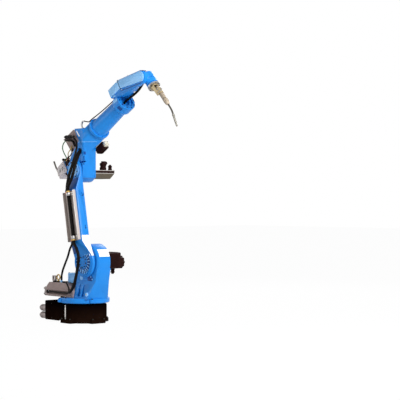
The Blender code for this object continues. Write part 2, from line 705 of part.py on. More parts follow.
def build_deck(swivel):
    """The cover, plugs, swivel motor and fittings behind the casting."""
    deck = add_object("swivel_rear_cover", plate_mesh("swivel_rear_cover", deck_outline(), "Y", -DECK_NEAR, DECK_FAR),
                      swivel, "cover_grey")
    slot = rectangle(-DECK_BACK - OVERLAP, -DECK_SLOT_FRONT, DECK_SLOT_LOW, DECK_SLOT_HIGH)
    cut(deck, add_object("deck_slot", plate_mesh("deck_slot", slot, "Y", -DECK_NEAR - OVERLAP,
                                                 -DECK_NEAR + DECK_SLOT_DEPTH), swivel, "cover_grey"))
    slot_middle = (DECK_SLOT_LOW + DECK_SLOT_HIGH) / 2
    for name, way in (("swivel_lower_plug", -0.75), ("swivel_upper_plug", 0.75)):
        place = (-DECK_BACK - SEAT_GAP, -DECK_PLUG_SIDE, slot_middle + DECK_SLOT_HEIGHT * way)
        build_plug(name, swivel, place, DECK_PLUG_RADIUS, DECK_PLUG_LENGTH, "X", -1.0, "plug_grey")

    half = SWIVEL_MOTOR_SIZE / 2
    motor = add_object("swivel_motor", plate_mesh("swivel_motor", rounded(
        rectangle(-half, half, -half, half), MOTOR_EDGE), "Z", DECK_TOP + SEAT_GAP, DECK_TOP + SWIVEL_MOTOR_HEIGHT),
        swivel, "plug_grey", (SWIVEL_MOTOR_X - half / 4, SWIVEL_MOTOR_Y, 0.0))
    soften(motor, MOTOR_EDGE / 3, 1)

    strip_top = DECK_TOP + SEAT_GAP + DECK_STRIP_THICKNESS
    strip_half = DECK_STRIP_WIDTH / 2
    strip_back = -DECK_BACK * DECK_TOP_SHARE
    strip = rounded(rectangle(strip_back, strip_back + DECK_STRIP_LENGTH, DECK_STRIP_Y - strip_half,
                              DECK_STRIP_Y + strip_half), DECK_STRIP_THICKNESS)
    add_object("deck_strip", plate_mesh("deck_strip", strip, "Z", DECK_TOP + SEAT_GAP, strip_top), swivel,
               "rubber_black")
    build_plug("cable_gland", swivel, (GLAND_X, GLAND_Y, DECK_TOP + SEAT_GAP), GLAND_RADIUS, GLAND_HEIGHT, "Z", 1.0,
               "pale_blue_paint")
    build_plug("rear_cable_gland", swivel, (-DECK_BACK - SEAT_GAP, REAR_GLAND_Y, slot_middle), REAR_GLAND_RADIUS,
               REAR_GLAND_LENGTH, "X", -1.0, "plug_grey")
    build_lifting_eye(swivel, strip_top + SEAT_GAP)
    build_square_frame(swivel, strip_top + SEAT_GAP)


def build_lifting_eye(swivel, floor):
    """The brass ring that stands on a short stem on the deck strip."""
    centre_height = EYE_RADIUS + EYE_WIRE * 2
    ring = ring_mesh("lifting_eye", circle((EYE_RADIUS, 0.0), EYE_WIRE, SMALL_STEPS // 2), "Y", SMALL_STEPS * 2)
    eye = add_object("lifting_eye", ring, swivel, "brass", (EYE_X, DECK_STRIP_Y, floor + centre_height))
    stem = [(0.0, 0.0), (EYE_WIRE * 1.8, 0.0), (EYE_WIRE * 1.8, EYE_WIRE), (EYE_WIRE, EYE_WIRE * 1.5),
            (EYE_WIRE, EYE_WIRE * 2.4), (0.0, EYE_WIRE * 2.4)]
    join(eye, add_object("eye_stem", turned_mesh("eye_stem", stem, "Z", SMALL_STEPS), swivel, "brass",
                         (EYE_X, DECK_STRIP_Y, floor)))


def build_square_frame(swivel, floor):
    """The small open frame that stands beside the eye."""
    half = FRAME_SIZE / 2
    inner = half - FRAME_WALL
    frame = add_object("square_frame", plate_mesh("square_frame", rectangle(-half, half, 0.0, FRAME_SIZE), "Y",
                                                  -FRAME_DEPTH / 2, FRAME_DEPTH / 2), swivel, "plug_grey",
                       (FRAME_X + half / 2, DECK_STRIP_Y, floor))
    hole = rectangle(-inner, inner, FRAME_WALL, FRAME_SIZE - FRAME_WALL)
    cut(frame, add_object("frame_hole", plate_mesh("frame_hole", hole, "Y", -FRAME_DEPTH, FRAME_DEPTH), swivel,
                          "plug_grey", (FRAME_X + half / 2, DECK_STRIP_Y, floor)))


def arm_side_outline():
    """The lower arm seen from its side: a big hub, a straight beam and a small hub."""
    top = LOWER_ARM_LENGTH
    low_hub = arc((0.0, 0.0), ARM_LOW_HUB_RADIUS, 155.0, 385.0, ROUND_STEPS // 2)
    top_hub = arc((0.0, top), ARM_TOP_HUB_RADIUS, 8.0, 172.0, ROUND_STEPS // 2)
    front = [(ARM_FRONT, ARM_SHOULDER_Z), (ARM_FRONT, ARM_CREST_Z)]
    rear = [(-ARM_REAR, ARM_CREST_Z), (-ARM_REAR, ARM_SHOULDER_Z)]
    return low_hub + front + top_hub + rear


def arm_front_outline():
    """The lower arm seen from the front: thick in the middle, thin at both hubs."""
    low = -ARM_LOW_HUB_RADIUS - OVERLAP
    top = LOWER_ARM_LENGTH + ARM_TOP_HUB_RADIUS + OVERLAP
    return [(-ARM_PLANE, low), (-ARM_PLANE, top), (-ARM_HUB_OUT, top), (-ARM_HUB_OUT, ARM_CREST_Z + ARM_TAPER),
            (-ARM_WIDE_OUT, ARM_CREST_Z), (-ARM_WIDE_OUT, ARM_SHOULDER_Z),
            (-ARM_HUB_OUT, ARM_SHOULDER_Z - ARM_TAPER), (-ARM_HUB_OUT, low)]


def build_lower_arm(shoulder):
    """The lower arm casting with its rims, pockets and threaded eye."""
    arm = add_object("lower_arm_casting", plate_mesh("lower_arm_casting", arm_side_outline(), "Y",
                                                     -ARM_WIDE_OUT - OVERLAP, -ARM_PLANE), shoulder, "blue_paint")
    reach = ARM_LOW_HUB_RADIUS + OVERLAP
    keep = add_object("arm_taper", plate_mesh("arm_taper", arm_front_outline(), "X", -reach, reach), shoulder,
                      "blue_paint")
    combine(arm, "INTERSECT", [keep])
    soften(arm, ARM_EDGE)
    for name, centre, radius in (("low_rim", 0.0, ARM_LOW_HUB_RADIUS - ARM_EDGE * 1.4),
                                 ("top_rim", LOWER_ARM_LENGTH, ARM_TOP_HUB_RADIUS - ARM_EDGE * 1.4)):
        rim = ring_mesh(name, rectangle(radius - HUB_RIM, radius, -ARM_HUB_OUT - HUB_RIM_RISE,
                                        -ARM_HUB_OUT + OVERLAP), "Y")
        join(arm, add_object(name, rim, shoulder, "blue_paint", (0.0, 0.0, centre)))
    eye = turned_mesh("arm_eye", [(0.0, ARM_FRONT - OVERLAP), (ARM_EYE_RADIUS, ARM_FRONT - OVERLAP),
                                  (ARM_EYE_RADIUS * 0.85, ARM_FRONT + HUB_RIM_RISE),
                                  (ARM_EYE_RADIUS * 0.4, ARM_FRONT + HUB_RIM_RISE),
                                  (ARM_EYE_RADIUS * 0.4, ARM_FRONT), (0.0, ARM_FRONT)], "X", SMALL_STEPS)
    middle = -(ARM_PLANE + ARM_WIDE_OUT) / 2
    join(arm, add_object("arm_eye", eye, shoulder, "blue_paint", (0.0, middle, ARM_EYE_Z)))


def build_tray(shoulder):
    """The sheet channel on the arm's outer side, with its conduit and clamps."""
    floor = -ARM_WIDE_OUT - SEAT_GAP
    outline = [(-TRAY_HALF_WIDTH, floor), (TRAY_HALF_WIDTH, floor), (TRAY_HALF_WIDTH, floor - TRAY_LIP),
               (TRAY_HALF_WIDTH - TRAY_WALL, floor - TRAY_LIP), (TRAY_HALF_WIDTH - TRAY_WALL, floor - TRAY_WALL),
               (-TRAY_HALF_WIDTH + TRAY_WALL, floor - TRAY_WALL), (-TRAY_HALF_WIDTH + TRAY_WALL, floor - TRAY_LIP),
               (-TRAY_HALF_WIDTH, floor - TRAY_LIP)]
    low = ARM_SHOULDER_Z + TRAY_MARGIN
    high = ARM_CREST_Z - TRAY_MARGIN
    add_object("cable_tray", plate_mesh("cable_tray", outline, "Z", low, high), shoulder, "cover_grey")

    centre = floor - TRAY_WALL - SEAT_GAP - CONDUIT_RADIUS
    conduit = [(0.0, low), (CONDUIT_RADIUS, low), (CONDUIT_RADIUS, high), (0.0, high)]
    add_object("tray_conduit", turned_mesh("tray_conduit", conduit, "Z", SMALL_STEPS + 4), shoulder, "rubber_black",
               (0.0, centre, 0.0))
    for name, z in (("lower_tray_clamp", low + CLAMP_HEIGHT / 2), ("upper_tray_clamp", high - CLAMP_HEIGHT * 1.5)):
        build_clamp(name, shoulder, centre, floor - TRAY_WALL - SEAT_GAP, z)


def build_clamp(name, link, centre, floor, z):
    """A saddle clamp bent over the conduit, with a foot on each side."""
    inner = CONDUIT_RADIUS + SEAT_GAP
    outer = inner + CLAMP_WALL / 2
    half = CLAMP_WIDTH / 2
    outline = [(-half, floor), (-inner, floor)]
    outline += arc((0.0, centre), inner, 180.0, 360.0, SMALL_STEPS // 2)
    outline += [(inner, floor), (half, floor), (half, floor - CLAMP_WALL), (outer, floor - CLAMP_WALL)]
    outline += arc((0.0, centre), outer, 360.0, 180.0, SMALL_STEPS // 2)
    outline += [(-outer, floor - CLAMP_WALL), (-half, floor - CLAMP_WALL)]
    add_object(name, plate_mesh(name, outline, "Z", z, z + CLAMP_HEIGHT), link, "bright_metal")


def level_corner(forward, up):
    """A corner given level and upright from the elbow axis, in the forearm's frame."""
    cosine, sine = math.cos(FOREARM_RISE), math.sin(FOREARM_RISE)
    return (forward * cosine + up * sine, up * cosine - forward * sine)


def elbow_back_edge(share):
    """A point along the elbow's back edge, which runs up from its hub."""
    low = Vector(arc((0.0, 0.0), ELBOW_HUB_RADIUS, ELBOW_HUB_START, ELBOW_HUB_END, 1)[0])
    return low.lerp(Vector((-ELBOW_HUB_RADIUS * 0.2, ELBOW_OFFSET * 0.72)), share)


def elbow_side_outline():
    """The elbow casting seen from its side, in the forearm's frame.

    Its front and crown are upright and level when the forearm rises by
    FOREARM_RISE, so those corners are turned back by that angle.
    """
    chin = level_corner(ELBOW_FRONT, -ELBOW_CHIN * 0.7)
    crown_front = level_corner(ELBOW_FRONT, ELBOW_CROWN)
    crown_back = level_corner(-ELBOW_CROWN_BACK, ELBOW_CROWN)
    back = (crown_back[0], ELBOW_OFFSET)
    low_back = tuple(elbow_back_edge(1.0))
    hub = arc((0.0, 0.0), ELBOW_HUB_RADIUS, ELBOW_HUB_START, ELBOW_HUB_END, ROUND_STEPS // 2)
    return hub + [chin, crown_front, crown_back, back, low_back]


def build_elbow(elbow):
    """The elbow casting with its roll housing, its boss and ribbed side."""
    near = ARM_PLANE - RUN_GAP
    casting = add_object("elbow_casting", plate_mesh("elbow_casting", elbow_side_outline(), "Y", -near, ELBOW_LEFT),
                         elbow, "blue_paint")
    soften(casting, ELBOW_EDGE)
    boss = turned_mesh("elbow_boss", [(0.0, -near + ELBOW_EDGE * 2), (ELBOW_BOSS_RADIUS, -near + ELBOW_EDGE * 2),
                                      (ELBOW_BOSS_RADIUS, -ARM_PLANE + SEAT_GAP), (0.0, -ARM_PLANE + SEAT_GAP)], "Y")
    roll = turned_mesh("roll_housing", disc_profile(ROLL_HOUSING_RADIUS, ROLL_HOUSING_BACK, ROLL_HOUSING_FRONT,
                                                    ELBOW_EDGE), "X")
    join(casting, add_object("roll_housing", roll, elbow, "blue_paint", (0.0, 0.0, ELBOW_OFFSET)))
    for index, (turn, reach) in enumerate(((12.0, 0.62), (95.0, 0.60))):
        wedge = rounded([(ELBOW_BOSS_RADIUS * math.cos(math.radians(turn - 14)) * 1.18,
                          ELBOW_BOSS_RADIUS * math.sin(math.radians(turn - 14)) * 1.18),
                         (ELBOW_OFFSET * reach * math.cos(math.radians(turn)),
                          ELBOW_OFFSET * reach * math.sin(math.radians(turn))),
                         (ELBOW_BOSS_RADIUS * math.cos(math.radians(turn + 16)) * 1.18,
                          ELBOW_BOSS_RADIUS * math.sin(math.radians(turn + 16)) * 1.18)], ELBOW_RIB / 3)
        pocket = plate_mesh("pocket", wedge, "Y", -ARM_PLANE - OVERLAP, -near + ELBOW_POCKET_DEPTH)
        cut(casting, add_object(f"elbow_pocket_{index}", pocket, elbow, "blue_paint"))
    socket = turned_mesh("cable_socket", [(0.0, -ARM_PLANE - OVERLAP), (SOCKET_RADIUS, -ARM_PLANE - OVERLAP),
                                          (SOCKET_RADIUS, -near + ELBOW_POCKET_DEPTH),
                                          (0.0, -near + ELBOW_POCKET_DEPTH)], "Y", SMALL_STEPS + 4)
    cut(casting, add_object("cable_socket", socket, elbow, "blue_paint", (SOCKET_X, 0.0, SOCKET_Z)))
    join(casting, add_object("elbow_boss", boss, elbow, "blue_paint"))
    neck = turned_mesh("roll_bearing", [(0.0, ROLL_HOUSING_FRONT - OVERLAP),
                                        (TUBE_ROOT_RADIUS, ROLL_HOUSING_FRONT - OVERLAP),
                                        (TUBE_ROOT_RADIUS, TUBE_ROOT + RUN_GAP - SEAT_GAP - RUN_GAP / 2),
                                        (0.0, TUBE_ROOT + RUN_GAP - SEAT_GAP - RUN_GAP / 2)], "X")
    join(casting, add_object("roll_bearing", neck, elbow, "blue_paint", (0.0, 0.0, ELBOW_OFFSET)))


def build_elbow_motor(elbow):
    """The elbow motor on the left side, level in this pose, with two plugs on top."""
    level = axis_empty("elbow_motor_frame", elbow, (0.0, 0.0, 0.0), FOREARM_RISE)
    half = ELBOW_MOTOR_SIZE / 2
    start = ELBOW_LEFT + SEAT_GAP
    end = start + ELBOW_MOTOR_LENGTH
    top = ELBOW_MOTOR_DEPTH / 2 - ELBOW_MOTOR_DROP
    low = -ELBOW_MOTOR_DEPTH / 2 - ELBOW_MOTOR_DROP
    outline = [(start, low), (end - ELBOW_MOTOR_TAPER, low), (end, low + ELBOW_MOTOR_TAPER), (end, top),
               (start, top)]
    motor = add_object("elbow_motor", plate_mesh("elbow_motor", outline, "X", -half, half), level, "olive_dark")
    soften(motor, ELBOW_EDGE / 2, 1)
    tall = start + ELBOW_MOTOR_LENGTH * 0.54
    short = start + ELBOW_MOTOR_LENGTH * 0.88
    for name, y, radius, height in (("elbow_power_plug", tall, ELBOW_PLUG_RADIUS, ELBOW_PLUG_HEIGHT),
                                    ("elbow_signal_plug", short, ELBOW_PLUG_SMALL_RADIUS, ELBOW_PLUG_SMALL_HEIGHT)):
        build_plug(name, level, (ELBOW_PLUG_FORWARD, y, top + SEAT_GAP), radius, height, "Z", 1.0, "motor_black")


def build_roll_motor(elbow):
    """The roll motor beside the tube's root and its pale end cap."""
    half = ROLL_MOTOR_SIZE / 2
    centre = (0.0, ROLL_MOTOR_SIDE, ELBOW_OFFSET - ROLL_MOTOR_DROP)
    end = ROLL_MOTOR_BACK + ROLL_MOTOR_LENGTH
    motor = add_object("roll_motor", plate_mesh("roll_motor", rounded(
        rectangle(-half, half, -half, half), MOTOR_EDGE), "X", ROLL_MOTOR_BACK, end), elbow, "motor_black", centre)
    foot = ROLL_MOTOR_SIDE - ELBOW_LEFT - half
    bracket = rectangle(-half - foot + SEAT_GAP, 0.0, -half * 0.7, half * 0.7)
    join(motor, add_object("roll_motor_foot", plate_mesh("roll_motor_foot", bracket, "X", ROLL_MOTOR_BACK + OVERLAP,
                                                         ROLL_MOTOR_BACK + ROLL_MOTOR_SIZE / 2), elbow,
                           "motor_black", centre))
    cap = ROLL_CAP_SIZE / 2
    add_object("roll_motor_cap", plate_mesh("roll_motor_cap", rounded(rectangle(-cap, cap, -cap, cap), cap / 3), "X",
                                            end + SEAT_GAP, end + ROLL_CAP_LENGTH), elbow, "cover_grey", centre)


def build_bracket(elbow):
    """The folded sheet behind the elbow, its plugs and the hook on the crown."""
    back = level_corner(-ELBOW_CROWN_BACK, ELBOW_CROWN)[0] - SEAT_GAP
    top = ELBOW_OFFSET + ROLL_HOUSING_RADIUS + BRACKET_RISE + BRACKET_PLUG_RADIUS * 2
    outline = [(back * 0.62, top), (-back * 0.50, top), (-back * 0.36, top * 0.93), (-back * 0.17, top * 0.57),
               (back * 0.28, top * 0.54), (back, top * 0.70), (back, top * 0.88)]
    sheet = add_object("elbow_bracket", plate_mesh("elbow_bracket", outline, "Y", -BRACKET_SIDE,
                                                   -BRACKET_SIDE + BRACKET_WALL), elbow, "cover_grey")
    shelf = rectangle(-back * 0.50 + SINK, back * 0.62 - SINK, top - BRACKET_WALL - SINK, top - SINK)
    join(sheet, add_object("bracket_shelf", plate_mesh("bracket_shelf", shelf, "Y", -BRACKET_SIDE + BRACKET_WALL / 2,
                                                       -BRACKET_SIDE + BRACKET_FLANGE), elbow, "cover_grey"))
    level = axis_empty("bracket_frame", elbow, (0.0, 0.0, 0.0), FOREARM_RISE)
    side = -BRACKET_SIDE - SEAT_GAP - BRACKET_PLUG_RADIUS
    plug, back_half = (build_plug(name, level, (BRACKET_PLUG_FORWARD - way * SINK, side, BRACKET_PLUG_UP),
                                  BRACKET_PLUG_RADIUS, BRACKET_PLUG_LENGTH, "X", way, "rubber_black")
                       for name, way in (("bracket_plug", 1.0), ("bracket_plug_back", -1.0)))
    join(plug, back_half)
    add_object("conduit_hook", plate_mesh("conduit_hook", hook_outline(), "Y", HOOK_SIDE - HOOK_WIDTH / 2,
                                          HOOK_SIDE + HOOK_WIDTH / 2), level, "bright_metal")


def hook_centre():
    """The middle of the hook's bend, level and upright from the elbow axis."""
    return (HOOK_FORWARD, ELBOW_CROWN + SEAT_GAP + HOOK_RADIUS * math.sin(HOOK_TOP_TURN))


def hook_outline():
    """The hook's strap: a foot on the crown and a bend that opens forward."""
    centre = hook_centre()
    floor = ELBOW_CROWN + SEAT_GAP
    top = math.degrees(HOOK_TOP_TURN)
    outer = arc(centre, HOOK_RADIUS, top, 180.0 + top, SMALL_STEPS)
    inner = arc(centre, HOOK_RADIUS - HOOK_WALL, 180.0 + top, top, SMALL_STEPS)
    toe = HOOK_FORWARD + HOOK_WALL * 0.3
    return outer + [(toe, floor), (toe, floor + HOOK_WALL * 0.7)] + inner


def build_feeder(elbow):
    """The wire feeder in line behind the roll axis."""
    frame = axis_empty("feeder_frame", elbow, (FEEDER_X, 0.0, FEEDER_Z), FEEDER_TILT)
    half_l, half_h, half_w = FEEDER_LENGTH / 2, FEEDER_HEIGHT / 2, FEEDER_WIDTH / 2
    box = add_object("wire_feeder", plate_mesh("wire_feeder", rectangle(-half_l, half_l, -half_h, half_h), "Y",
                                               -half_w, half_w), frame, "plug_grey")
    soften(box, FEEDER_EDGE)
    low, high = elbow_back_edge(0.30), elbow_back_edge(0.80)
    outward = Vector((low.y - high.y, high.x - low.x)).normalized() * SEAT_GAP
    back = FEEDER_X + half_l - FEEDER_EDGE
    seat = [(back, FEEDER_Z - FEEDER_ARM_THICKNESS * 2), tuple(low + outward), tuple(high + outward),
            (back, FEEDER_Z + FEEDER_ARM_THICKNESS)]
    arm_half = FEEDER_ARM_WIDTH / 2
    join(box, add_object("feeder_arm", plate_mesh("feeder_arm", seat, "Y", -arm_half, arm_half), elbow, "plug_grey"))
    for index in range(2):
        x = -half_l + KNOB_SPACING * (index + 0.7)
        join(box, build_plug(f"pressure_knob_{index + 1}", frame, (x, 0.0, half_h - SINK), KNOB_RADIUS, KNOB_HEIGHT,
                             "Z", 1.0, "plug_grey"))
    drive = turned_mesh("feeder_drive", disc_profile(FEEDER_DRIVE_RADIUS, 0.0, -FEEDER_DRIVE_LENGTH,
                                                     -FEEDER_EDGE), "Z", SMALL_STEPS + 4)
    add_object("feeder_drive", drive, frame, "motor_black", (half_l / 2, 0.0, -half_h - SEAT_GAP))
    rod = [(-SEAT_GAP, 0.1), (-INLET_RADIUS * 2, 0.1), (-INLET_RADIUS * 4.2, 0.5), (-INLET_RADIUS * 4.8, 1.5),
           (-INLET_RADIUS * 4.4, 3.0)]
    cable("wire_inlet", [(-half_l + x, 0.0, half_h * share) for x, share in rod], INLET_RADIUS, frame, "olive_dark")


def build_forearm(roll):
    """The forearm tube, which turns with the front arm."""
    root = TUBE_ROOT + RUN_GAP
    profile = [(0.0, TUBE_ROOT + RUN_GAP / 2), (TUBE_ROOT_RADIUS, TUBE_ROOT + RUN_GAP / 2), (TUBE_ROOT_RADIUS, root),
               (TUBE_FLANGE_RADIUS, root), (TUBE_FLANGE_RADIUS, root + TUBE_FLANGE_THICKNESS),
               (TUBE_ROOT_RADIUS + TUBE_FILLET / 3, root + TUBE_FLANGE_THICKNESS),
               (TUBE_ROOT_RADIUS, root + TUBE_FLANGE_THICKNESS + TUBE_FILLET),
               (TUBE_END_RADIUS, TUBE_END), (0.0, TUBE_END)]
    add_object("forearm_tube", turned_mesh("forearm_tube", profile, "X"), roll, "blue_paint")


def front_box_outline():
    """The gear box beside the roll axis, seen from its side."""
    tip = arc((FOREARM_LENGTH, 0.0), BOX_TIP_RADIUS, -105.0, 72.0, ROUND_STEPS // 2)
    return [(BOX_REAR_X, BOX_REAR_LOW), (BOX_KNEE_X - BOX_SOFT, 0.0)] + tip + [
        (BOX_KNEE_X, BOX_REAR_TOP), (BOX_REAR_X, BOX_REAR_TOP)]


def build_front_arm(roll):
    """The hollow flange, the neck and the gear box that carries the wrist."""
    start = TUBE_END + SEAT_GAP
    floor = NOSE_END - NOSE_BORE_DEPTH
    mouth = NOSE_END - NOSE_MOUTH_DEPTH
    nose = [(0.0, start), (NOSE_RADIUS - BOX_SOFT / 2, start), (NOSE_RADIUS, start + BOX_SOFT),
            (NOSE_RADIUS, NOSE_END - BOX_SOFT / 2), (NOSE_RADIUS - BOX_SOFT / 2, NOSE_END),
            (NOSE_MOUTH_RADIUS, NOSE_END), (NOSE_MOUTH_RADIUS, mouth), (NOSE_BORE_RADIUS, mouth),
            (NOSE_BORE_RADIUS, floor), (0.0, floor)]
    box = add_object("front_arm_casting", plate_mesh("front_arm_casting", front_box_outline(), "Y", -BOX_NEAR,
                                                     BOX_FAR), roll, "blue_paint")
    waste = [(NOSE_END + BOX_SOFT, BOX_FAR + OVERLAP), (FOREARM_LENGTH - BOX_TIP_RADIUS * 1.5, -BOX_TIP_FAR),
             (FOREARM_LENGTH + BOX_TIP_RADIUS * 2, -BOX_TIP_FAR),
             (FOREARM_LENGTH + BOX_TIP_RADIUS * 2, BOX_FAR + OVERLAP)]
    cut(box, add_object("box_waste", plate_mesh("box_waste", waste, "Z", -BOX_REAR_TOP * 1.2, BOX_REAR_TOP * 1.2),
                        roll, "blue_paint"))
    tunnel = turned_mesh("cable_tunnel", [(0.0, floor), (NOSE_BORE_RADIUS, floor), (NOSE_BORE_RADIUS, FOREARM_LENGTH),
                                          (0.0, FOREARM_LENGTH)], "X")
    soften(box, BOX_SOFT / 2, 1)
    join(box, add_object("nose", turned_mesh("nose", nose, "X"), roll, "blue_paint"))
    cut(box, add_object("cable_tunnel", tunnel, roll, "blue_paint"))


def build_front_cover(roll):
    """The two-part cover plate on the gear box's outer side."""
    low, high = BOX_REAR_LOW + COVER_MARGIN, BOX_REAR_TOP - COVER_MARGIN
    seam = BOX_KNEE_X - COVER_MARGIN
    rear = rounded([(BOX_REAR_X + COVER_MARGIN, low), (seam, BOX_REAR_LOW), (seam, high),
                    (BOX_REAR_X + COVER_MARGIN, high)], COVER_MARGIN)
    outer = -BOX_NEAR - SEAT_GAP
    add_object("rear_side_cover", plate_mesh("rear_side_cover", rear, "Y", outer - COVER_THICKNESS, outer), roll,
               "pale_blue_paint")
    tip = arc((FOREARM_LENGTH, 0.0), BOX_TIP_RADIUS - COVER_MARGIN * 1.5, -72.0, 66.0, ROUND_STEPS // 4)
    front = [(seam + COVER_MARGIN / 2, BOX_REAR_LOW)] + tip + [(seam + COVER_MARGIN / 2, high)]
    add_object("front_side_cover", plate_mesh("front_side_cover", front, "Y", outer - COVER_THICKNESS, outer), roll,
               "pale_blue_paint")


def build_wrist(bend):
    """The wrist: a hub on the bend axis and a hollow barrel along the tool axis."""
    barrel = [(0.0, -WRIST_BACK), (WRIST_RADIUS - WRIST_EDGE, -WRIST_BACK), (WRIST_RADIUS, -WRIST_BACK + WRIST_EDGE),
              (WRIST_RADIUS, WRIST_FRONT), (WRIST_BORE_RADIUS, WRIST_FRONT),
              (WRIST_BORE_RADIUS, WRIST_FRONT - WRIST_BORE_DEPTH), (0.0, WRIST_FRONT - WRIST_BORE_DEPTH)]
    wrist = add_object("wrist_casting", turned_mesh("wrist_casting", barrel, "X", ROUND_STEPS - 8), bend, "blue_paint")
    face = -BOX_TIP_FAR + SEAT_GAP
    hub = [(0.0, face), (WRIST_PIVOT_RADIUS, face), (WRIST_PIVOT_RADIUS, face + RUN_GAP),
           (WRIST_HUB_RADIUS, face + RUN_GAP), (WRIST_HUB_RADIUS, 0.0), (0.0, 0.0)]
    join(wrist, add_object("wrist_hub", turned_mesh("wrist_hub", hub, "Y", ROUND_STEPS - 8), bend, "blue_paint"))


def build_tool(turn):
    """The tool flange, the torch bracket and the torch."""
    ring_start = WRIST_FRONT + SEAT_GAP
    ring_end = ring_start + TOOL_RING_THICKNESS
    ring = rectangle(TOOL_RING_BORE, TOOL_RING_RADIUS, ring_start, ring_end)
    flange = add_object("tool_flange", ring_mesh("tool_flange", ring, "X"), turn, "bright_metal")
    soften(flange, SEAT_GAP * 5, 1)
    build_torch_bracket(turn, ring_end + SEAT_GAP)
    build_torch(turn)


def build_torch_bracket(turn, start):
    """The mounting ring, its two arms and the clamp round the torch."""
    plate = ring_mesh("torch_bracket", rectangle(TOOL_RING_BORE, TORCH_MOUNT_RADIUS, start,
                                                 start + TORCH_MOUNT_THICKNESS), "X", ROUND_STEPS - 8)
    bracket = add_object("torch_bracket", plate, turn, "brass")
    reach = TOOL_RING_BORE + (TORCH_MOUNT_RADIUS - TOOL_RING_BORE) / 2
    for side in (-1.0, 1.0):
        outline = [(start + SINK, side * (reach - TORCH_ARM_WIDTH / 2)),
                   (start + SINK, side * (reach + TORCH_ARM_WIDTH / 3)),
                   (TORCH_CLAMP_START + TORCH_CLAMP_LENGTH, side * (TORCH_CLAMP_RADIUS + SINK)),
                   (TORCH_CLAMP_START + TORCH_CLAMP_LENGTH, side * TORCH_BODY_RADIUS * 1.15),
                   (TORCH_CLAMP_START, side * TORCH_BODY_RADIUS * 1.15)]
        arm = plate_mesh("bracket_arm", outline, "Z", -TORCH_ARM_WIDTH / 2, TORCH_ARM_WIDTH + TORCH_RISE / 2)
        join(bracket, add_object(f"bracket_arm_{int(side)}", arm, turn, "brass"))
    clamp = ring_mesh("torch_clamp", rectangle(TORCH_BODY_RADIUS + SEAT_GAP, TORCH_CLAMP_RADIUS, TORCH_CLAMP_START,
                                               TORCH_CLAMP_START + TORCH_CLAMP_LENGTH), "X", ROUND_STEPS - 8)
    join(bracket, add_object("torch_clamp", clamp, turn, "brass", (0.0, 0.0, TORCH_RISE)))


def build_torch(turn):
    """The torch: its grip, its bent neck and the straight nozzle with its nut."""
    clamp_end = TORCH_CLAMP_START + TORCH_CLAMP_LENGTH
    grip = [(0.0, TORCH_BODY_START), (TORCH_BODY_RADIUS * 0.8, TORCH_BODY_START),
            (TORCH_BODY_RADIUS, TORCH_BODY_START + SINK * 3), (TORCH_BODY_RADIUS, clamp_end + SINK * 3),
            (TORCH_SLEEVE_RADIUS, clamp_end + SINK * 6), (TORCH_SLEEVE_RADIUS, TORCH_BODY_END - TORCH_SLEEVE_RADIUS),
            (TORCH_BODY_RADIUS * 0.7, TORCH_BODY_END), (0.0, TORCH_BODY_END)]
    add_object("torch_grip", turned_mesh("torch_grip", grip, "X", ROUND_STEPS // 2), turn, "plug_grey",
               (0.0, 0.0, TORCH_RISE))
    neck = neck_route(TORCH_BODY_END + SEAT_GAP)
    cable("torch_neck", neck, TORCH_NECK_RADIUS, turn, "olive_dark")
    end, before = Vector(neck[-1]), Vector(neck[-2])
    way = (end - before).normalized()
    tip_frame = axis_empty("nozzle_frame", turn, end, math.atan2(-way.z, way.x))
    nut_end = SEAT_GAP + TORCH_NUT_LENGTH
    nozzle_end = nut_end + NOZZLE_LENGTH
    nozzle = [(0.0, SEAT_GAP), (TORCH_NUT_RADIUS - SINK, SEAT_GAP), (TORCH_NUT_RADIUS, SEAT_GAP + SINK),
              (TORCH_NUT_RADIUS, nut_end), (NOZZLE_RADIUS, nut_end), (NOZZLE_RADIUS, nut_end + NOZZLE_LENGTH * 0.6),
              (NOZZLE_TIP_RADIUS, nozzle_end), (NOZZLE_BORE_RADIUS, nozzle_end),
              (NOZZLE_BORE_RADIUS, nozzle_end - NOZZLE_BORE_DEPTH), (0.0, nozzle_end - NOZZLE_BORE_DEPTH)]
    add_object("torch_nozzle", turned_mesh("torch_nozzle", nozzle, "X", SMALL_STEPS), tip_frame, "plug_grey")


def neck_route(start):
    """The torch neck: a short straight run, then an arc that bends down."""
    points = [(start, 0.0, TORCH_RISE), (start + TORCH_NECK_STRAIGHT, 0.0, TORCH_RISE)]
    centre_z = TORCH_RISE - TORCH_NECK_BEND_RADIUS
    steps = CORNER_STEPS + 2
    for step in range(1, steps + 1):
        turn = TORCH_NECK_BEND * step / steps
        points.append((start + TORCH_NECK_STRAIGHT + TORCH_NECK_BEND_RADIUS * math.sin(turn), 0.0,
                       centre_z + TORCH_NECK_BEND_RADIUS * math.cos(turn)))
    return points


def on_grid(points):
    """Route points given in steps of ROUTE_GRID."""
    return [Vector(point) * ROUTE_GRID for point in points]


def in_link(link, points):
    """Points of the robot's own frame, as it stands here, in a link's frame."""
    into_link = link.matrix_world.inverted()
    return [into_link @ point for point in points]


def from_link(link, points):
    """Points of a link's frame in the robot's own frame, as it stands here."""
    return [link.matrix_world @ Vector(point) for point in points]


def level_from(place, points):
    """Points given level and upright from a place, in steps of ROUTE_GRID."""
    return [Vector(place) + step for step in on_grid(points)]


def straight_out(place, way, length):
    """The first two points of a cable: on its seat, then straight out of it."""
    return [Vector(place) + Vector(way) * SEAT_GAP, Vector(place) + Vector(way) * length]


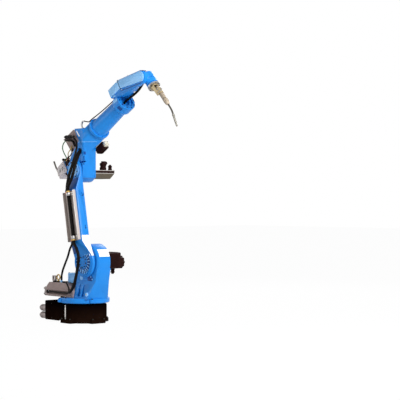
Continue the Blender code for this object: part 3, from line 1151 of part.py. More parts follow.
def build_tool_cables(roll, turn):
    """The torch cable from the hollow flange to the wrist, and its end in the tool."""
    rear = (NOSE_END - NOSE_BORE_DEPTH, 0.0, 0.0)
    wrist = Vector((FOREARM_LENGTH, 0.0, 0.0))
    middle = [wrist + step for step in on_grid([(-21.2, 0.0, -1.2), (-13.2, 0.0, -1.0), (-7.2, 0.0, 0.4),
                                                (-5.15, 0.0, 0.6)])]
    cable("torch_cable", straight_out(rear, (1.0, 0.0, 0.0), NOSE_BORE_DEPTH) + middle, TORCH_CABLE_RADIUS, roll)
    floor = (WRIST_FRONT - WRIST_BORE_DEPTH, 0.0, 0.0)
    end = TORCH_BODY_START - SEAT_GAP * 2
    rise = TORCH_RISE - TORCH_CABLE_RADIUS * 0.95
    run = end - floor[0]
    cable("flange_cable", straight_out(floor, (1.0, 0.0, 0.0), WRIST_BORE_DEPTH * 0.9) + [
        (floor[0] + run * 0.66, 0.0, rise * 0.48), (floor[0] + run * 0.86, 0.0, rise), (end, 0.0, rise)],
        TORCH_CABLE_RADIUS * 0.8, turn)


def build_forearm_conduit(elbow):
    """The thin conduit from the hook, over the tube's root, to the back of the hollow flange."""
    centre, bend = hook_centre(), HOOK_RADIUS - HOOK_WALL / 2
    top = level_corner(centre[0] + bend * math.cos(HOOK_TOP_TURN), centre[1] + bend * math.sin(HOOK_TOP_TURN))
    way = level_corner(math.sin(HOOK_TOP_TURN), -math.cos(HOOK_TOP_TURN))
    first = straight_out((top[0], HOOK_SIDE, top[1]), (way[0], 0.0, way[1]), HOOK_WALL * 1.4)
    over = [(TUBE_ROOT - TUBE_FLANGE_THICKNESS, 1.00), (TUBE_ROOT + TUBE_FLANGE_THICKNESS / 2, 0.99),
            (TUBE_ROOT + TUBE_FLANGE_THICKNESS * 2.4, 0.93)]
    run = TUBE_END - TUBE_ROOT
    over += [(TUBE_ROOT + run * share, height) for share, height in ((0.37, 0.83), (0.64, 0.745), (0.85, 0.69),
                                                                    (0.94, 0.675))]
    over.append((TUBE_END - SEAT_GAP, 0.675))
    rest = [(x, HOOK_SIDE, ELBOW_OFFSET + TUBE_FLANGE_RADIUS * height) for x, height in over]
    cable("forearm_conduit", first + rest, CABLE_CONDUIT_RADIUS, elbow)


def build_upper_cables(shoulder, elbow):
    """The two cables from the tray's top to the elbow, drawn level from the elbow axis."""
    high = ARM_CREST_Z - TRAY_MARGIN
    thin_y = -ARM_WIDE_OUT - SEAT_GAP * 3 - TRAY_WALL - THIN_CABLE_RADIUS
    thick_y = -ARM_WIDE_OUT - SEAT_GAP * 2 - TRAY_WALL - CONDUIT_RADIUS
    axis = elbow.matrix_world.translation
    thin_start = (-THIN_CABLE_RADIUS * 3.5, thin_y, high - CLAMP_HEIGHT / 2)
    thin = from_link(shoulder, straight_out(thin_start, (0.0, 0.0, 1.0), CLAMP_HEIGHT))
    thin += level_from(axis, [(1.7, -19.6, -11.1), (5.1, -20.0, -2.8), (7.5, -19.0, 3.8), (8.4, -16.5, 12.1),
                              (6.9, -13.6, 18.9), (3.9, -11.7, 23.7), (0.5, -11.2, 26.5), (-3.3, -10.4, 28.1)])
    plug = (BRACKET_PLUG_FORWARD - SINK + BRACKET_PLUG_LENGTH, -BRACKET_SIDE - SEAT_GAP - BRACKET_PLUG_RADIUS,
            BRACKET_PLUG_UP)
    thin += level_from(axis + Vector(plug), [(2.6, -1.17, 0.0)])
    thin += reversed(straight_out(axis + Vector(plug), (1.0, 0.0, 0.0), THIN_CABLE_RADIUS * 1.4))
    cable("upper_thin_cable", in_link(shoulder, thin), THIN_CABLE_RADIUS, shoulder)

    thick = from_link(shoulder, straight_out((0.0, thick_y, high), (0.0, 0.0, 1.0), CLAMP_HEIGHT))
    thick += level_from(axis, [(6.3, -20.0, -9.9), (9.2, -20.0, -5.9), (10.8, -19.5, -0.9), (10.7, -17.2, 5.8),
                               (8.9, -13.8, 11.4), (6.5, -10.8, 14.7), (4.8, -8.0, 16.05)])
    socket = (SOCKET_X, -ARM_PLANE + RUN_GAP + ELBOW_POCKET_DEPTH, SOCKET_Z)
    thick += from_link(elbow, reversed(straight_out(socket, (0.0, -1.0, 0.0), THICK_CABLE_RADIUS)))
    cable("upper_thick_cable", in_link(shoulder, thick), THICK_CABLE_RADIUS, shoulder)


def build_lower_cables(shoulder):
    """The two cables from the tray's bottom to the deck, drawn level from the shoulder, then from their ends."""
    low = ARM_SHOULDER_Z + TRAY_MARGIN
    thin_y = -ARM_WIDE_OUT - SEAT_GAP * 3 - TRAY_WALL - THIN_CABLE_RADIUS
    thick_y = -ARM_WIDE_OUT - SEAT_GAP * 2 - TRAY_WALL - CONDUIT_RADIUS
    axis = shoulder.matrix_world.translation
    thin_start = (-THIN_CABLE_RADIUS * 3.5, thin_y, low + CLAMP_HEIGHT / 2)
    thin = from_link(shoulder, straight_out(thin_start, (0.0, 0.0, -1.0), CLAMP_HEIGHT))
    thin += level_from(axis, [(-9.0, -19.3, 10.5), (-12.6, -19.0, 3.9), (-19.4, -17.5, -3.7)])
    gland = Vector((GLAND_X, GLAND_Y, DECK_TOP + SEAT_GAP + GLAND_HEIGHT))
    thin += level_from(gland, [(5.7, -3.5, 6.6), (1.5, -1.0, 3.9)])
    thin += reversed(straight_out(gland, (0.0, 0.0, 1.0), GLAND_HEIGHT))
    cable("lower_thin_cable", in_link(shoulder, thin), THIN_CABLE_RADIUS, shoulder)

    thick = from_link(shoulder, straight_out((0.0, thick_y, low), (0.0, 0.0, -1.0), CLAMP_HEIGHT))
    thick += level_from(axis, [(1.3, -20.0, 11.0), (3.8, -20.0, 4.5), (2.2, -19.5, -2.9), (-1.2, -18.8, -11.2)])
    slot = Vector((-DECK_SLOT_FRONT, REAR_GLAND_Y, (DECK_SLOT_LOW + DECK_SLOT_HIGH) / 2))
    thick += level_from(slot, [(15.5, -5.35, 7.7), (10.3, -4.25, 2.9), (4.0, -3.15, 0.6), (-3.0, -1.55, 0.0),
                               (-10.0, -0.05, 0.0)])
    rear = (-DECK_BACK, REAR_GLAND_Y, slot.z)
    thick += reversed(straight_out(rear, (1.0, 0.0, 0.0), DECK_BACK * 0.3))
    cable("lower_thick_cable", in_link(shoulder, thick), THICK_CABLE_RADIUS, shoulder)


def main():
    """Build every sub-part on its link."""
    clear_scene()
    root = axis_empty("floor_frame", None, (0.0, 0.0, 0.0))
    swivel = axis_empty("swivel_axis", root, (0.0, 0.0, 0.0))
    shoulder = axis_empty("shoulder_axis", swivel, (SHOULDER_OFFSET, 0.0, SHOULDER_HEIGHT), -LOWER_ARM_LEAN)
    elbow = axis_empty("elbow_axis", shoulder, (0.0, 0.0, LOWER_ARM_LENGTH), LOWER_ARM_LEAN - FOREARM_RISE)
    roll = axis_empty("roll_axis", elbow, (0.0, 0.0, ELBOW_OFFSET))
    bend = axis_empty("bend_axis", roll, (FOREARM_LENGTH, 0.0, 0.0), FOREARM_RISE + TORCH_DIP)
    turn = axis_empty("turn_axis", bend, (0.0, 0.0, 0.0))
    build_base(root)
    build_swivel(swivel)
    build_shoulder_motor(swivel)
    build_deck(swivel)
    build_lower_arm(shoulder)
    build_tray(shoulder)
    build_elbow(elbow)
    build_elbow_motor(elbow)
    build_roll_motor(elbow)
    build_bracket(elbow)
    build_feeder(elbow)
    build_forearm(roll)
    build_front_arm(roll)
    build_front_cover(roll)
    build_wrist(bend)
    build_tool(turn)
    bpy.context.view_layer.update()
    build_tool_cables(roll, turn)
    build_forearm_conduit(elbow)
    build_upper_cables(shoulder, elbow)
    build_lower_cables(shoulder)


main()
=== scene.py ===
"""A studio view of a six-axis arc-welding robot arm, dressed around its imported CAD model.

The frame is the CAD model's own: metres, the origin where the swivel axis meets the
floor, +X the way the robot faces, +Y its left, +Z up. Each sub-assembly below is a
class that holds its sizes and builds its own pieces in the plain frame of the link
that carries it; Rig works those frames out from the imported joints.
"""
from __future__ import annotations

import json
import logging
import math
from dataclasses import dataclass, field
from enum import Enum

import bmesh
import bpy
from mathutils import Matrix, Vector

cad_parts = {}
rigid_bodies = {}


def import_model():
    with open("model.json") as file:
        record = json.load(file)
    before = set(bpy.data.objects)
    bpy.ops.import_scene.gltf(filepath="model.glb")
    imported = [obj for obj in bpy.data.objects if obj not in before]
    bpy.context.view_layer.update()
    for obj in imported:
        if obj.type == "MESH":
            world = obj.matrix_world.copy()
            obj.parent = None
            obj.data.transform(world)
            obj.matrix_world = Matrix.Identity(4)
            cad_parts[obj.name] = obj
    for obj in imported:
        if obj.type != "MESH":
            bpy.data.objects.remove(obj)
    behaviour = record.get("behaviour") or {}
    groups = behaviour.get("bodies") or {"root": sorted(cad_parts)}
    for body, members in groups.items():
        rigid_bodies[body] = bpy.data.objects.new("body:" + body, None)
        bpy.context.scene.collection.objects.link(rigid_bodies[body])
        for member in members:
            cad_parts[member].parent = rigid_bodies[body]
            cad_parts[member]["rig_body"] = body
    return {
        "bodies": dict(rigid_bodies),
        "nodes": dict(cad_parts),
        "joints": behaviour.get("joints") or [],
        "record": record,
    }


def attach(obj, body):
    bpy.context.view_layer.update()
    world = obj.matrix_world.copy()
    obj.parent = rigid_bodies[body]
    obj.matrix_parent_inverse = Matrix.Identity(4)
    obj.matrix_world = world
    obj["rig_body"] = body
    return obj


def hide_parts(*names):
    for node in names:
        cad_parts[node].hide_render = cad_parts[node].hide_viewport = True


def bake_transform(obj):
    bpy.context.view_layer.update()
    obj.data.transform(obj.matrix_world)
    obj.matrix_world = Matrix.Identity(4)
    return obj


LOG = logging.getLogger("welding_robot")

Profile = list[tuple[float, float]]
Point = tuple[float, float, float]
Plane = tuple[Point, Point]
Mesh = bpy.types.Mesh
Piece = bpy.types.Object
Tree = bpy.types.NodeTree
Socket = bpy.types.NodeSocket

MILLIMETRES_IN_METRE = 1000.0
# The directions that faces look in, in any frame: up, to the robot's right and left, forwards and backwards.
UP: Point = (0.0, 0.0, 1.0)
RIGHT: Point = (0.0, -1.0, 0.0)
LEFT: Point = (0.0, 1.0, 0.0)
FRONT: Point = (1.0, 0.0, 0.0)
REAR: Point = (-1.0, 0.0, 0.0)
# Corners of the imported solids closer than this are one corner; drawn shapes are merged more finely.
SOLID_MERGE = 0.00002
DRAWN_MERGE = 0.00001
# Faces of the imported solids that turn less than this, in degrees, are one flat face.
FLAT_TURN = 0.4
# Edges sharper than these, in degrees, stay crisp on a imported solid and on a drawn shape.
SOLID_CREASE = 30.0
DRAWN_CREASE = 32.0
# How deep a piece's foot is let into what carries it.
SUNK = 0.001


def linear(code: str) -> tuple[float, float, float, float]:
    """Turn an sRGB hex colour into the linear colour that Blender reads.

    Args:
        code: six hex digits after a hash sign.

    Returns:
        Red, green, blue and alpha.
    """
    parts = [int(code[spot:spot + 2], 16) / 255.0 for spot in (1, 3, 5)]
    red, green, blue = (part / 12.92 if part <= 0.04045 else ((part + 0.055) / 1.055) ** 2.4
                        for part in parts)
    return red, green, blue, 1.0


def add_node(tree: Tree, kind: str, settings: dict[str, object] | None = None,
             feeds: dict[str | int, object] | None = None) -> bpy.types.Node:
    """Add one node with its settings and links.

    Args:
        tree: the shader or geometry tree.
        kind: the node's type name.
        settings: property values, by name.
        feeds: for each input, by name or number, the output socket or the value that feeds it.

    Returns:
        The new node.
    """
    node = tree.nodes.new(kind)
    for name, value in (settings or {}).items():
        setattr(node, name, value)
    for key, value in (feeds or {}).items():
        if isinstance(value, Socket):
            tree.links.new(value, node.inputs[key])
        else:
            node.inputs[key].default_value = value
    return node


class Axis(Enum):
    """One of a frame's three directions."""

    X = 0
    Y = 1
    Z = 2

    def place(self, first: float, second: float, along: float) -> Point:
        """Return the point that lies at along on this axis and at the other two places across it."""
        spot = [first, second]
        spot.insert(self.value, along)
        return tuple(spot)

    def between(self, low: float, high: float) -> list[Plane]:
        """Return the two planes that trim all but one stretch of this axis.

        Args:
            low: where the stretch starts.
            high: where it ends.

        Returns:
            For each plane, a point and the normal that looks at what is trimmed.
        """
        return [(self.place(0.0, 0.0, high), self.place(0.0, 0.0, 1.0)),
                (self.place(0.0, 0.0, low), self.place(0.0, 0.0, -1.0))]


class Lay(Enum):
    """The way a surface's marks run, as the stretch of its grain along X, Y and Z."""

    EVEN = (1.0, 1.0, 1.0)
    TURNED = (0.08, 1.0, 1.0)
    UPRIGHT = (1.0, 1.0, 0.12)


@dataclass(frozen=True)
class Finish:
    """A surface: what it is made of, and how it was made.

    Sizes of marks are in millimetres, as they are on the real surface. The shade is the
    second colour, which clouds of the given size mix in. Polish is how far the roughness
    swings either way.
    """

    name: str
    colour: str
    shade: str
    roughness: float
    metallic: float = 0.0
    cloud_mm: float = 60.0
    cloud: float = 0.35
    grain_mm: float = 2.0
    grain_depth_mm: float = 0.02
    polish: float = 0.08
    coat: float = 0.0
    specular: float = 0.5
    dust: str = ""
    dust_height: float = 0.0
    lay: Lay = Lay.EVEN
    slot: str = ""

    def material(self) -> bpy.types.Material:
        """Return the finish's material, made the first time it is asked for."""
        if self.name in bpy.data.materials:
            return bpy.data.materials[self.name]
        made = bpy.data.materials.new(self.name)
        made.use_nodes = True
        tree = made.node_tree
        shader = tree.nodes["Principled BSDF"]
        place = add_node(tree, "ShaderNodeTexCoord").outputs["Object"]
        spread = add_node(tree, "ShaderNodeMapping", None,
                          {"Vector": place, "Scale": self.lay.value}).outputs[0]
        clouds = add_node(tree, "ShaderNodeTexNoise", None, {
            "Vector": place, "Scale": MILLIMETRES_IN_METRE / self.cloud_mm, "Detail": 4.0, "Roughness": 0.62})
        grain = add_node(tree, "ShaderNodeTexNoise", None, {
            "Vector": spread, "Scale": MILLIMETRES_IN_METRE / self.grain_mm, "Detail": 2.0, "Roughness": 0.5})
        share = add_node(tree, "ShaderNodeMapRange", None, {
            "Value": clouds.outputs["Fac"], "From Min": 0.36, "From Max": 0.68, "To Max": self.cloud})
        base = add_node(tree, "ShaderNodeMix", {"data_type": "RGBA"},
                        {0: share.outputs[0], 6: linear(self.colour), 7: linear(self.shade)}).outputs[2]
        if self.dust:
            base = self.with_dust(tree, place, clouds.outputs["Fac"], base)
        tree.links.new(base, shader.inputs["Base Color"])
        rough = add_node(tree, "ShaderNodeMapRange", None, {
            "Value": grain.outputs["Fac"], "From Min": 0.3, "From Max": 0.7,
            "To Min": max(self.roughness - self.polish, 0.04), "To Max": self.roughness + self.polish})
        tree.links.new(rough.outputs[0], shader.inputs["Roughness"])
        bump = add_node(tree, "ShaderNodeBump", None, {
            "Height": grain.outputs["Fac"], "Distance": self.grain_depth_mm / MILLIMETRES_IN_METRE,
            "Strength": 0.8})
        tree.links.new(bump.outputs[0], shader.inputs["Normal"])
        shader.inputs["Metallic"].default_value = self.metallic
        shader.inputs["Specular IOR Level"].default_value = self.specular
        shader.inputs["Coat Weight"].default_value = self.coat
        shader.inputs["Coat Roughness"].default_value = 0.12
        return made

    def with_dust(self, tree: Tree, place: Socket, clouds: Socket, base: Socket) -> Socket:
        """Lay settled shop dust over the lowest part of the surface.

        Args:
            tree: the material's tree.
            place: the surface's place in the robot's frame.
            clouds: the noise that breaks the dust's edge.
            base: the colour under the dust.

        Returns:
            The colour with dust on it.
        """
        height = add_node(tree, "ShaderNodeSeparateXYZ", None, {0: place}).outputs["Z"]
        fall = add_node(tree, "ShaderNodeMapRange", None,
                        {"Value": height, "From Min": self.dust_height, "From Max": 0.0, "To Max": 0.55})
        amount = add_node(tree, "ShaderNodeMath", {"operation": "MULTIPLY"}, {0: fall.outputs[0], 1: clouds})
        return add_node(tree, "ShaderNodeMix", {"data_type": "RGBA"},
                        {0: amount.outputs[0], 6: base, 7: linear(self.dust)}).outputs[2]


# Two-pack polyurethane enamel over cast iron: deep clear blue, a soft orange peel and a wet-looking coat.
ENAMEL_BLUE = Finish("blue_enamel_on_casting", "#2287DC", "#0C67BE", 0.34, cloud_mm=220, cloud=0.35,
                     grain_mm=4, grain_depth_mm=0.05, polish=0.05, coat=0.05, specular=0.15,
                     slot="blue_paint")
# The same enamel, thinned and lighter, on pressed covers; also laid as painted highlight on the elbow's seam,
# the nose and the lower arm's hub caps.
PALE_ENAMEL_AND_PAINTED_HIGHLIGHT = Finish("pale_blue_enamel_and_painted_highlight", "#8CCBFF", "#7ABDF8", 0.38, cloud_mm=160, grain_mm=3,
                     grain_depth_mm=0.03, coat=0.1, specular=0.3, slot="pale_blue_paint")
# A darker blue enamel for the arrow and a few small parts, also laid as painted shade in recesses, at seams
# and on shaded faces: darker, with less light in it.
DEEP_BLUE_AND_PAINTED_SHADE = Finish("deep_blue_enamel_and_painted_shade", "#124A92", "#0B3570", 0.4, cloud_mm=40, grain_mm=3,
                     coat=0.05, specular=0.15)
# Baked epoxy on the cast base: near black, a little brown where dust has settled near the floor.
EPOXY_BLACK = Finish("black_epoxy_on_cast_iron", "#060303", "#030202", 0.5, cloud_mm=90, grain_mm=2.5,
                     grain_depth_mm=0.05, specular=0.0, dust="#3A2419", dust_height=0.16,
                     slot="black_paint")
# Spray paint on the die-cast motors: brown-black and satin.
MOTOR_PAINT = Finish("motor_black_paint", "#26110E", "#170B09", 0.5, cloud_mm=50, grain_mm=1.8,
                     grain_depth_mm=0.04, specular=0.05, slot="motor_black")
# Powder coat on folded steel: warm grey, matt and finely pitted.
POWDER_GREY = Finish("warm_grey_powder_coat", "#C3B7AF", "#A89D97", 0.58, cloud_mm=70, grain_mm=1.5,
                     grain_depth_mm=0.05, slot="cover_grey")
# Hammered enamel on the sheet cover behind the swivel: darker, pinkish grey, a little mottled.
HAMMER_GREY = Finish("pinkish_hammered_enamel", "#9C8883", "#7F6C69", 0.55, cloud_mm=35, grain_mm=3.5,
                     grain_depth_mm=0.12, specular=0.25, slot="cover_grey")
# The feeder's powder coat: paler, with a pink cast under warm light.
POWDER_PALE = Finish("pale_rose_grey_powder_coat", "#DCD2D2", "#C8BEBF", 0.55, cloud_mm=60, grain_mm=1.5,
                     grain_depth_mm=0.05)
# Tumbled zinc die casting of the plugs: dull, grey, slightly pink under warm light.
DIE_CAST = Finish("tumbled_zinc_die_casting", "#8F8583", "#6F6664", 0.46, metallic=0.7, cloud_mm=25,
                  grain_mm=1.0, grain_depth_mm=0.03, slot="plug_grey")
# Brushed aluminium of strips and rails: pale, with fine upright scratches.
ALUMINIUM = Finish("brushed_aluminium", "#CFCBC7", "#B3AFAB", 0.38, metallic=0.85, cloud_mm=20,
                   grain_mm=0.7, grain_depth_mm=0.02, lay=Lay.UPRIGHT)
# Oil-proof rubber jackets: soft black with a faint sheen.
JACKET_BLACK = Finish("rubber_cable_jacket", "#120E0C", "#090706", 0.52, cloud_mm=30, grain_mm=0.9,
                      grain_depth_mm=0.03, specular=0.07, slot="rubber_black")
# Moulded nylon of conduits, ties and knobs.
NYLON_BLACK = Finish("moulded_black_nylon", "#171412", "#0E0C0B", 0.45, cloud_mm=40, grain_mm=1.2,
                     grain_depth_mm=0.02, specular=0.1)
# Turned bright steel of rings and clamps: fine lathe marks round the part.
TURNED_STEEL = Finish("turned_bright_steel", "#A3A1A1", "#807E7D", 0.34, metallic=0.9, cloud_mm=20,
                      grain_mm=0.8, grain_depth_mm=0.02, lay=Lay.TURNED, slot="bright_metal")
# Zinc-plated cap screws.
PLATED_STEEL = Finish("zinc_plated_steel", "#B9B4AC", "#8E8983", 0.34, metallic=0.95, cloud_mm=8,
                      grain_mm=0.6, slot="bright_metal")
# Blackened steel of the high-strength screws.
BLACK_OXIDE = Finish("black_oxide_steel", "#26231F", "#15130F", 0.36, metallic=0.7, cloud_mm=8,
                     grain_mm=0.6)
# Machined brass of the eye and the small fittings.
BRASS = Finish("machined_brass", "#A5884C", "#7C6330", 0.38, metallic=0.8, cloud_mm=18, grain_mm=0.8,
               grain_depth_mm=0.03, lay=Lay.TURNED, slot="brass")
# Dull bronze of the torch's clamp: tan, with spatter-greyed patches.
TORCH_BRONZE = Finish("dull_torch_bronze", "#AC9B78", "#857757", 0.44, metallic=0.45, cloud_mm=14,
                      grain_mm=0.9, grain_depth_mm=0.04, slot="brass")
# Heat-tinted handle of the torch: tan-grey moulding compound.
HANDLE_TAN = Finish("tan_moulded_handle", "#AFA08C", "#8D8070", 0.5, cloud_mm=20, grain_mm=1.0,
                    grain_depth_mm=0.04)
# Insulated neck of the torch: dark, smoked olive.
NECK_DARK = Finish("smoked_neck_jacket", "#3A3529", "#232019", 0.45, cloud_mm=16, grain_mm=0.8)
# Nickel-plated nozzle, greyed by heat.
NICKEL = Finish("heat_greyed_nickel", "#86837A", "#68655C", 0.46, metallic=0.6, cloud_mm=12, grain_mm=0.6,
                lay=Lay.TURNED)
# Olive primer on the elbow motor and the inlet pipe.
OLIVE_PAINT = Finish("dark_olive_paint", "#4E4535", "#382F22", 0.5, cloud_mm=45, grain_mm=1.6,
                     grain_depth_mm=0.05, slot="olive_dark")
# Blank white vinyl labels.
WHITE_VINYL = Finish("blank_white_vinyl", "#F7F8F9", "#EDEFF1", 0.42, cloud_mm=15, cloud=0.2,
                     grain_mm=0.8)
# Cream moulded cap of the roll motor.
CREAM_PLASTIC = Finish("moulded_cream_plastic", "#E4DCC6", "#CFC5AC", 0.45, cloud_mm=20, grain_mm=1.0)
# Green and yellow hose jackets and a red plug, seen behind the elbow.
HOSE_GREEN = Finish("green_pvc_hose", "#3F7A45", "#2E5E36", 0.42, cloud_mm=12, grain_mm=0.8)
HOSE_YELLOW = Finish("yellow_pvc_hose", "#C9A83A", "#A98A28", 0.42, cloud_mm=12, grain_mm=0.8)
PLUG_RED = Finish("red_moulded_plug", "#A83A2E", "#842A22", 0.42, cloud_mm=12, grain_mm=0.8)
# Bare copper of the contact tip and the copper-coated wire.
COPPER = Finish("copper_coated_wire", "#B87048", "#95552F", 0.3, metallic=1.0, cloud_mm=6, grain_mm=0.5)


@dataclass(frozen=True)
class Screw:
    """A socket-head screw: the radius and height of its head, and its finish."""

    radius: float
    height: float
    finish: Finish


# The bolts of the feet and of the swivel's flange, and the middling screws of motors and lugs.
FOOT_BOLT = Screw(0.0075, 0.009, BLACK_OXIDE)
FLANGE_BOLT = Screw(0.0075, 0.008, BLACK_OXIDE)
CAP_SCREW = Screw(0.006, 0.006, BLACK_OXIDE)
# The screws round the two hubs of the lower arm.
LOWER_HUB_SCREW = Screw(0.0055, 0.005, BLACK_OXIDE)
UPPER_HUB_SCREW = Screw(0.0060, 0.005, BLACK_OXIDE)
# The small black screws: box and strips, feeder door, nose, tool flange, torch clamp and motor cap.
BOX_SCREW = Screw(0.0035, 0.002, BLACK_OXIDE)
DOOR_SCREW = Screw(0.0032, 0.002, BLACK_OXIDE)
NOSE_SCREW = Screw(0.0042, 0.003, BLACK_OXIDE)
TOOL_SCREW = Screw(0.0034, 0.003, BLACK_OXIDE)
CAP_PIN = Screw(0.0026, 0.002, BLACK_OXIDE)
# The plated screws, from the low plug on the swivel down to the elbow motor's side.
PLUG_SCREW = Screw(0.0065, 0.003, PLATED_STEEL)
DRIVE_SCREW = Screw(0.0045, 0.004, PLATED_STEEL)
BRACKET_SCREW = Screw(0.0045, 0.003, PLATED_STEEL)
MOTOR_SCREW = Screw(0.0042, 0.003, PLATED_STEEL)
TRAY_SCREW = Screw(0.0036, 0.002, PLATED_STEEL)
PLATE_SCREW = Screw(0.0035, 0.002, PLATED_STEEL)
DECK_SCREW = Screw(0.0032, 0.002, PLATED_STEEL)
COVER_SCREW = Screw(0.0032, 0.0018, PLATED_STEEL)
SIDE_SCREW = Screw(0.0030, 0.0010, PLATED_STEEL)
# The brass screws of the tray's clamps, and the screws that were painted with what they hold.
CLAMP_SCREW = Screw(0.0048, 0.0035, BRASS)
PORT_TAB = Screw(0.0062, 0.003, PALE_ENAMEL_AND_PAINTED_HIGHLIGHT)
FACE_SCREW = Screw(0.0055, 0.004, ENAMEL_BLUE)
TUBE_SCREW = Screw(0.0045, 0.004, ENAMEL_BLUE)


@dataclass
class Rig:
    """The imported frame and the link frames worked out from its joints."""

    frame: dict[str, object]
    links: dict[str, Matrix] = field(default_factory=dict)

    def __post_init__(self) -> None:
        """Work out each link's frame: its origin on the joint and its long axis as drawn."""
        joints = {joint["name"]: joint for joint in self.frame["joints"]}
        shoulder = Vector(joints["shoulder_lean"]["pos_m"])
        elbow = Vector(joints["elbow_lift"]["pos_m"])
        roll = Vector(joints["forearm_roll"]["pos_m"])
        bend = Vector(joints["wrist_bend"]["pos_m"])
        along = Vector(joints["forearm_roll"]["axis"]).normalized()
        tool = Vector(joints["tool_turn"]["axis"]).normalized()
        left = Vector(LEFT)
        up_arm = (elbow - shoulder).normalized()
        self.links = {
            "floor": Matrix.Identity(4),
            "shoulder": self.axes(shoulder, left.cross(up_arm), left, up_arm),
            "elbow": self.axes(elbow, along, left, along.cross(left)),
            "level_elbow": Matrix.Translation(elbow),
            "roll": self.axes(roll, along, left, along.cross(left)),
            "tool": self.axes(bend, tool, left, tool.cross(left)),
        }

    @staticmethod
    def axes(origin: Vector, x: Vector, y: Vector, z: Vector) -> Matrix:
        """Return the matrix of a frame.

        Args:
            origin: where the frame sits.
            x: its X direction.
            y: its Y direction.
            z: its Z direction.

        Returns:
            The frame's matrix.
        """
        turn = Matrix((x, y, z)).transposed().to_4x4()
        return Matrix.Translation(origin) @ turn

    def dress(self, mesh: Mesh, name: str, body: str, finish: Finish, link: str = "floor",
              replaces: tuple[str, ...] = ()) -> Piece:
        """Put a mesh that is drawn in a link's frame on its body.

        Args:
            mesh: the piece's mesh, in the link's frame.
            name: the piece's name.
            body: the CAD body that carries it.
            finish: its surface.
            link: the link frame that it is drawn in.
            replaces: CAD nodes that it stands for.

        Returns:
            The piece.
        """
        mesh.transform(self.links[link])
        piece = bpy.data.objects.new(name, mesh)
        bpy.context.scene.collection.objects.link(piece)
        mesh.materials.clear()
        mesh.materials.append(finish.material())
        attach(piece, body)
        if replaces:
            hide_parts(*replaces)
        LOG.info("%s rides on %s", name, body)
        return piece

    def add(self, name: str, body: str, finish: Finish, meshes: list[Mesh], link: str = "floor",
            replaces: tuple[str, ...] = ()) -> Piece:
        """Join meshes that share a body and a finish, and dress the body with them.

        Args:
            name: the piece's name.
            body: the CAD body that carries it.
            finish: its surface.
            meshes: the meshes, drawn in the link's frame.
            link: the link frame.
            replaces: CAD nodes that it stands for.

        Returns:
            The piece.
        """
        return self.dress(Shape.together(name, meshes), name, body, finish, link, replaces)

    def film(self, node: str, name: str, finish: Finish, toward: Point, cuts: list[Plane],
             link: str = "floor", match: float = 0.9, lift: float = 0.0004) -> Piece:
        """Lay a thin film of vinyl or paint on part of a CAD node's surface.

        Args:
            node: the CAD node.
            name: the piece's name.
            finish: the film's surface.
            toward: the way that the covered faces look, in the link's frame.
            cuts: planes as a point and a normal; what lies beyond the normal is trimmed.
            link: the link frame.
            match: the least cosine between a face's normal and toward.
            lift: the film's thickness.

        Returns:
            The piece.
        """
        solid = self.frame["nodes"][node]
        bm = bmesh.new()
        bm.from_mesh(solid.data)
        bm.transform(self.links[link].inverted())
        bmesh.ops.remove_doubles(bm, verts=bm.verts, dist=SOLID_MERGE)
        bm.normal_update()
        way = Vector(toward).normalized()
        turned_away = [face for face in bm.faces if face.normal.dot(way) < match]
        bmesh.ops.delete(bm, geom=turned_away, context="FACES")
        for spot, normal in cuts:
            bmesh.ops.bisect_plane(bm, geom=list(bm.verts) + list(bm.edges) + list(bm.faces), plane_co=spot,
                                   plane_no=normal, clear_outer=True)
        bm.normal_update()
        for vert in bm.verts:
            vert.co += vert.normal * lift
        bmesh.ops.solidify(bm, geom=list(bm.faces), thickness=lift)
        return self.dress(Shape.close(bm, name), name, solid["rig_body"], finish, link)

    def skin(self, node: str, finish: Finish, edge: float = 0.0) -> Piece:
        """Stand a smooth, soft-edged copy in for a CAD node.

        Args:
            node: the CAD node.
            finish: the copy's surface.
            edge: the width of the bevel on its sharp edges.

        Returns:
            The piece that stands for the node.
        """
        solid = self.frame["nodes"][node]
        crease = math.radians(SOLID_CREASE)
        bm = bmesh.new()
        bm.from_mesh(solid.data)
        bmesh.ops.remove_doubles(bm, verts=bm.verts, dist=SOLID_MERGE)
        bmesh.ops.dissolve_limit(bm, angle_limit=math.radians(FLAT_TURN), verts=bm.verts, edges=bm.edges,
                                 delimit={"NORMAL"})
        if edge:
            sharp = [rim for rim in bm.edges if rim.is_manifold and rim.calc_face_angle() > crease]
            bmesh.ops.bevel(bm, geom=sharp, offset=edge, segments=2, profile=0.5, affect="EDGES",
                            clamp_overlap=True)
        mesh = bpy.data.meshes.new(node + "_skin")
        bm.to_mesh(mesh)
        bm.free()
        mesh.shade_smooth()
        mesh.set_sharp_from_angle(angle=crease)
        return self.dress(mesh, node + "_skin", solid["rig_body"], finish, replaces=(node,))


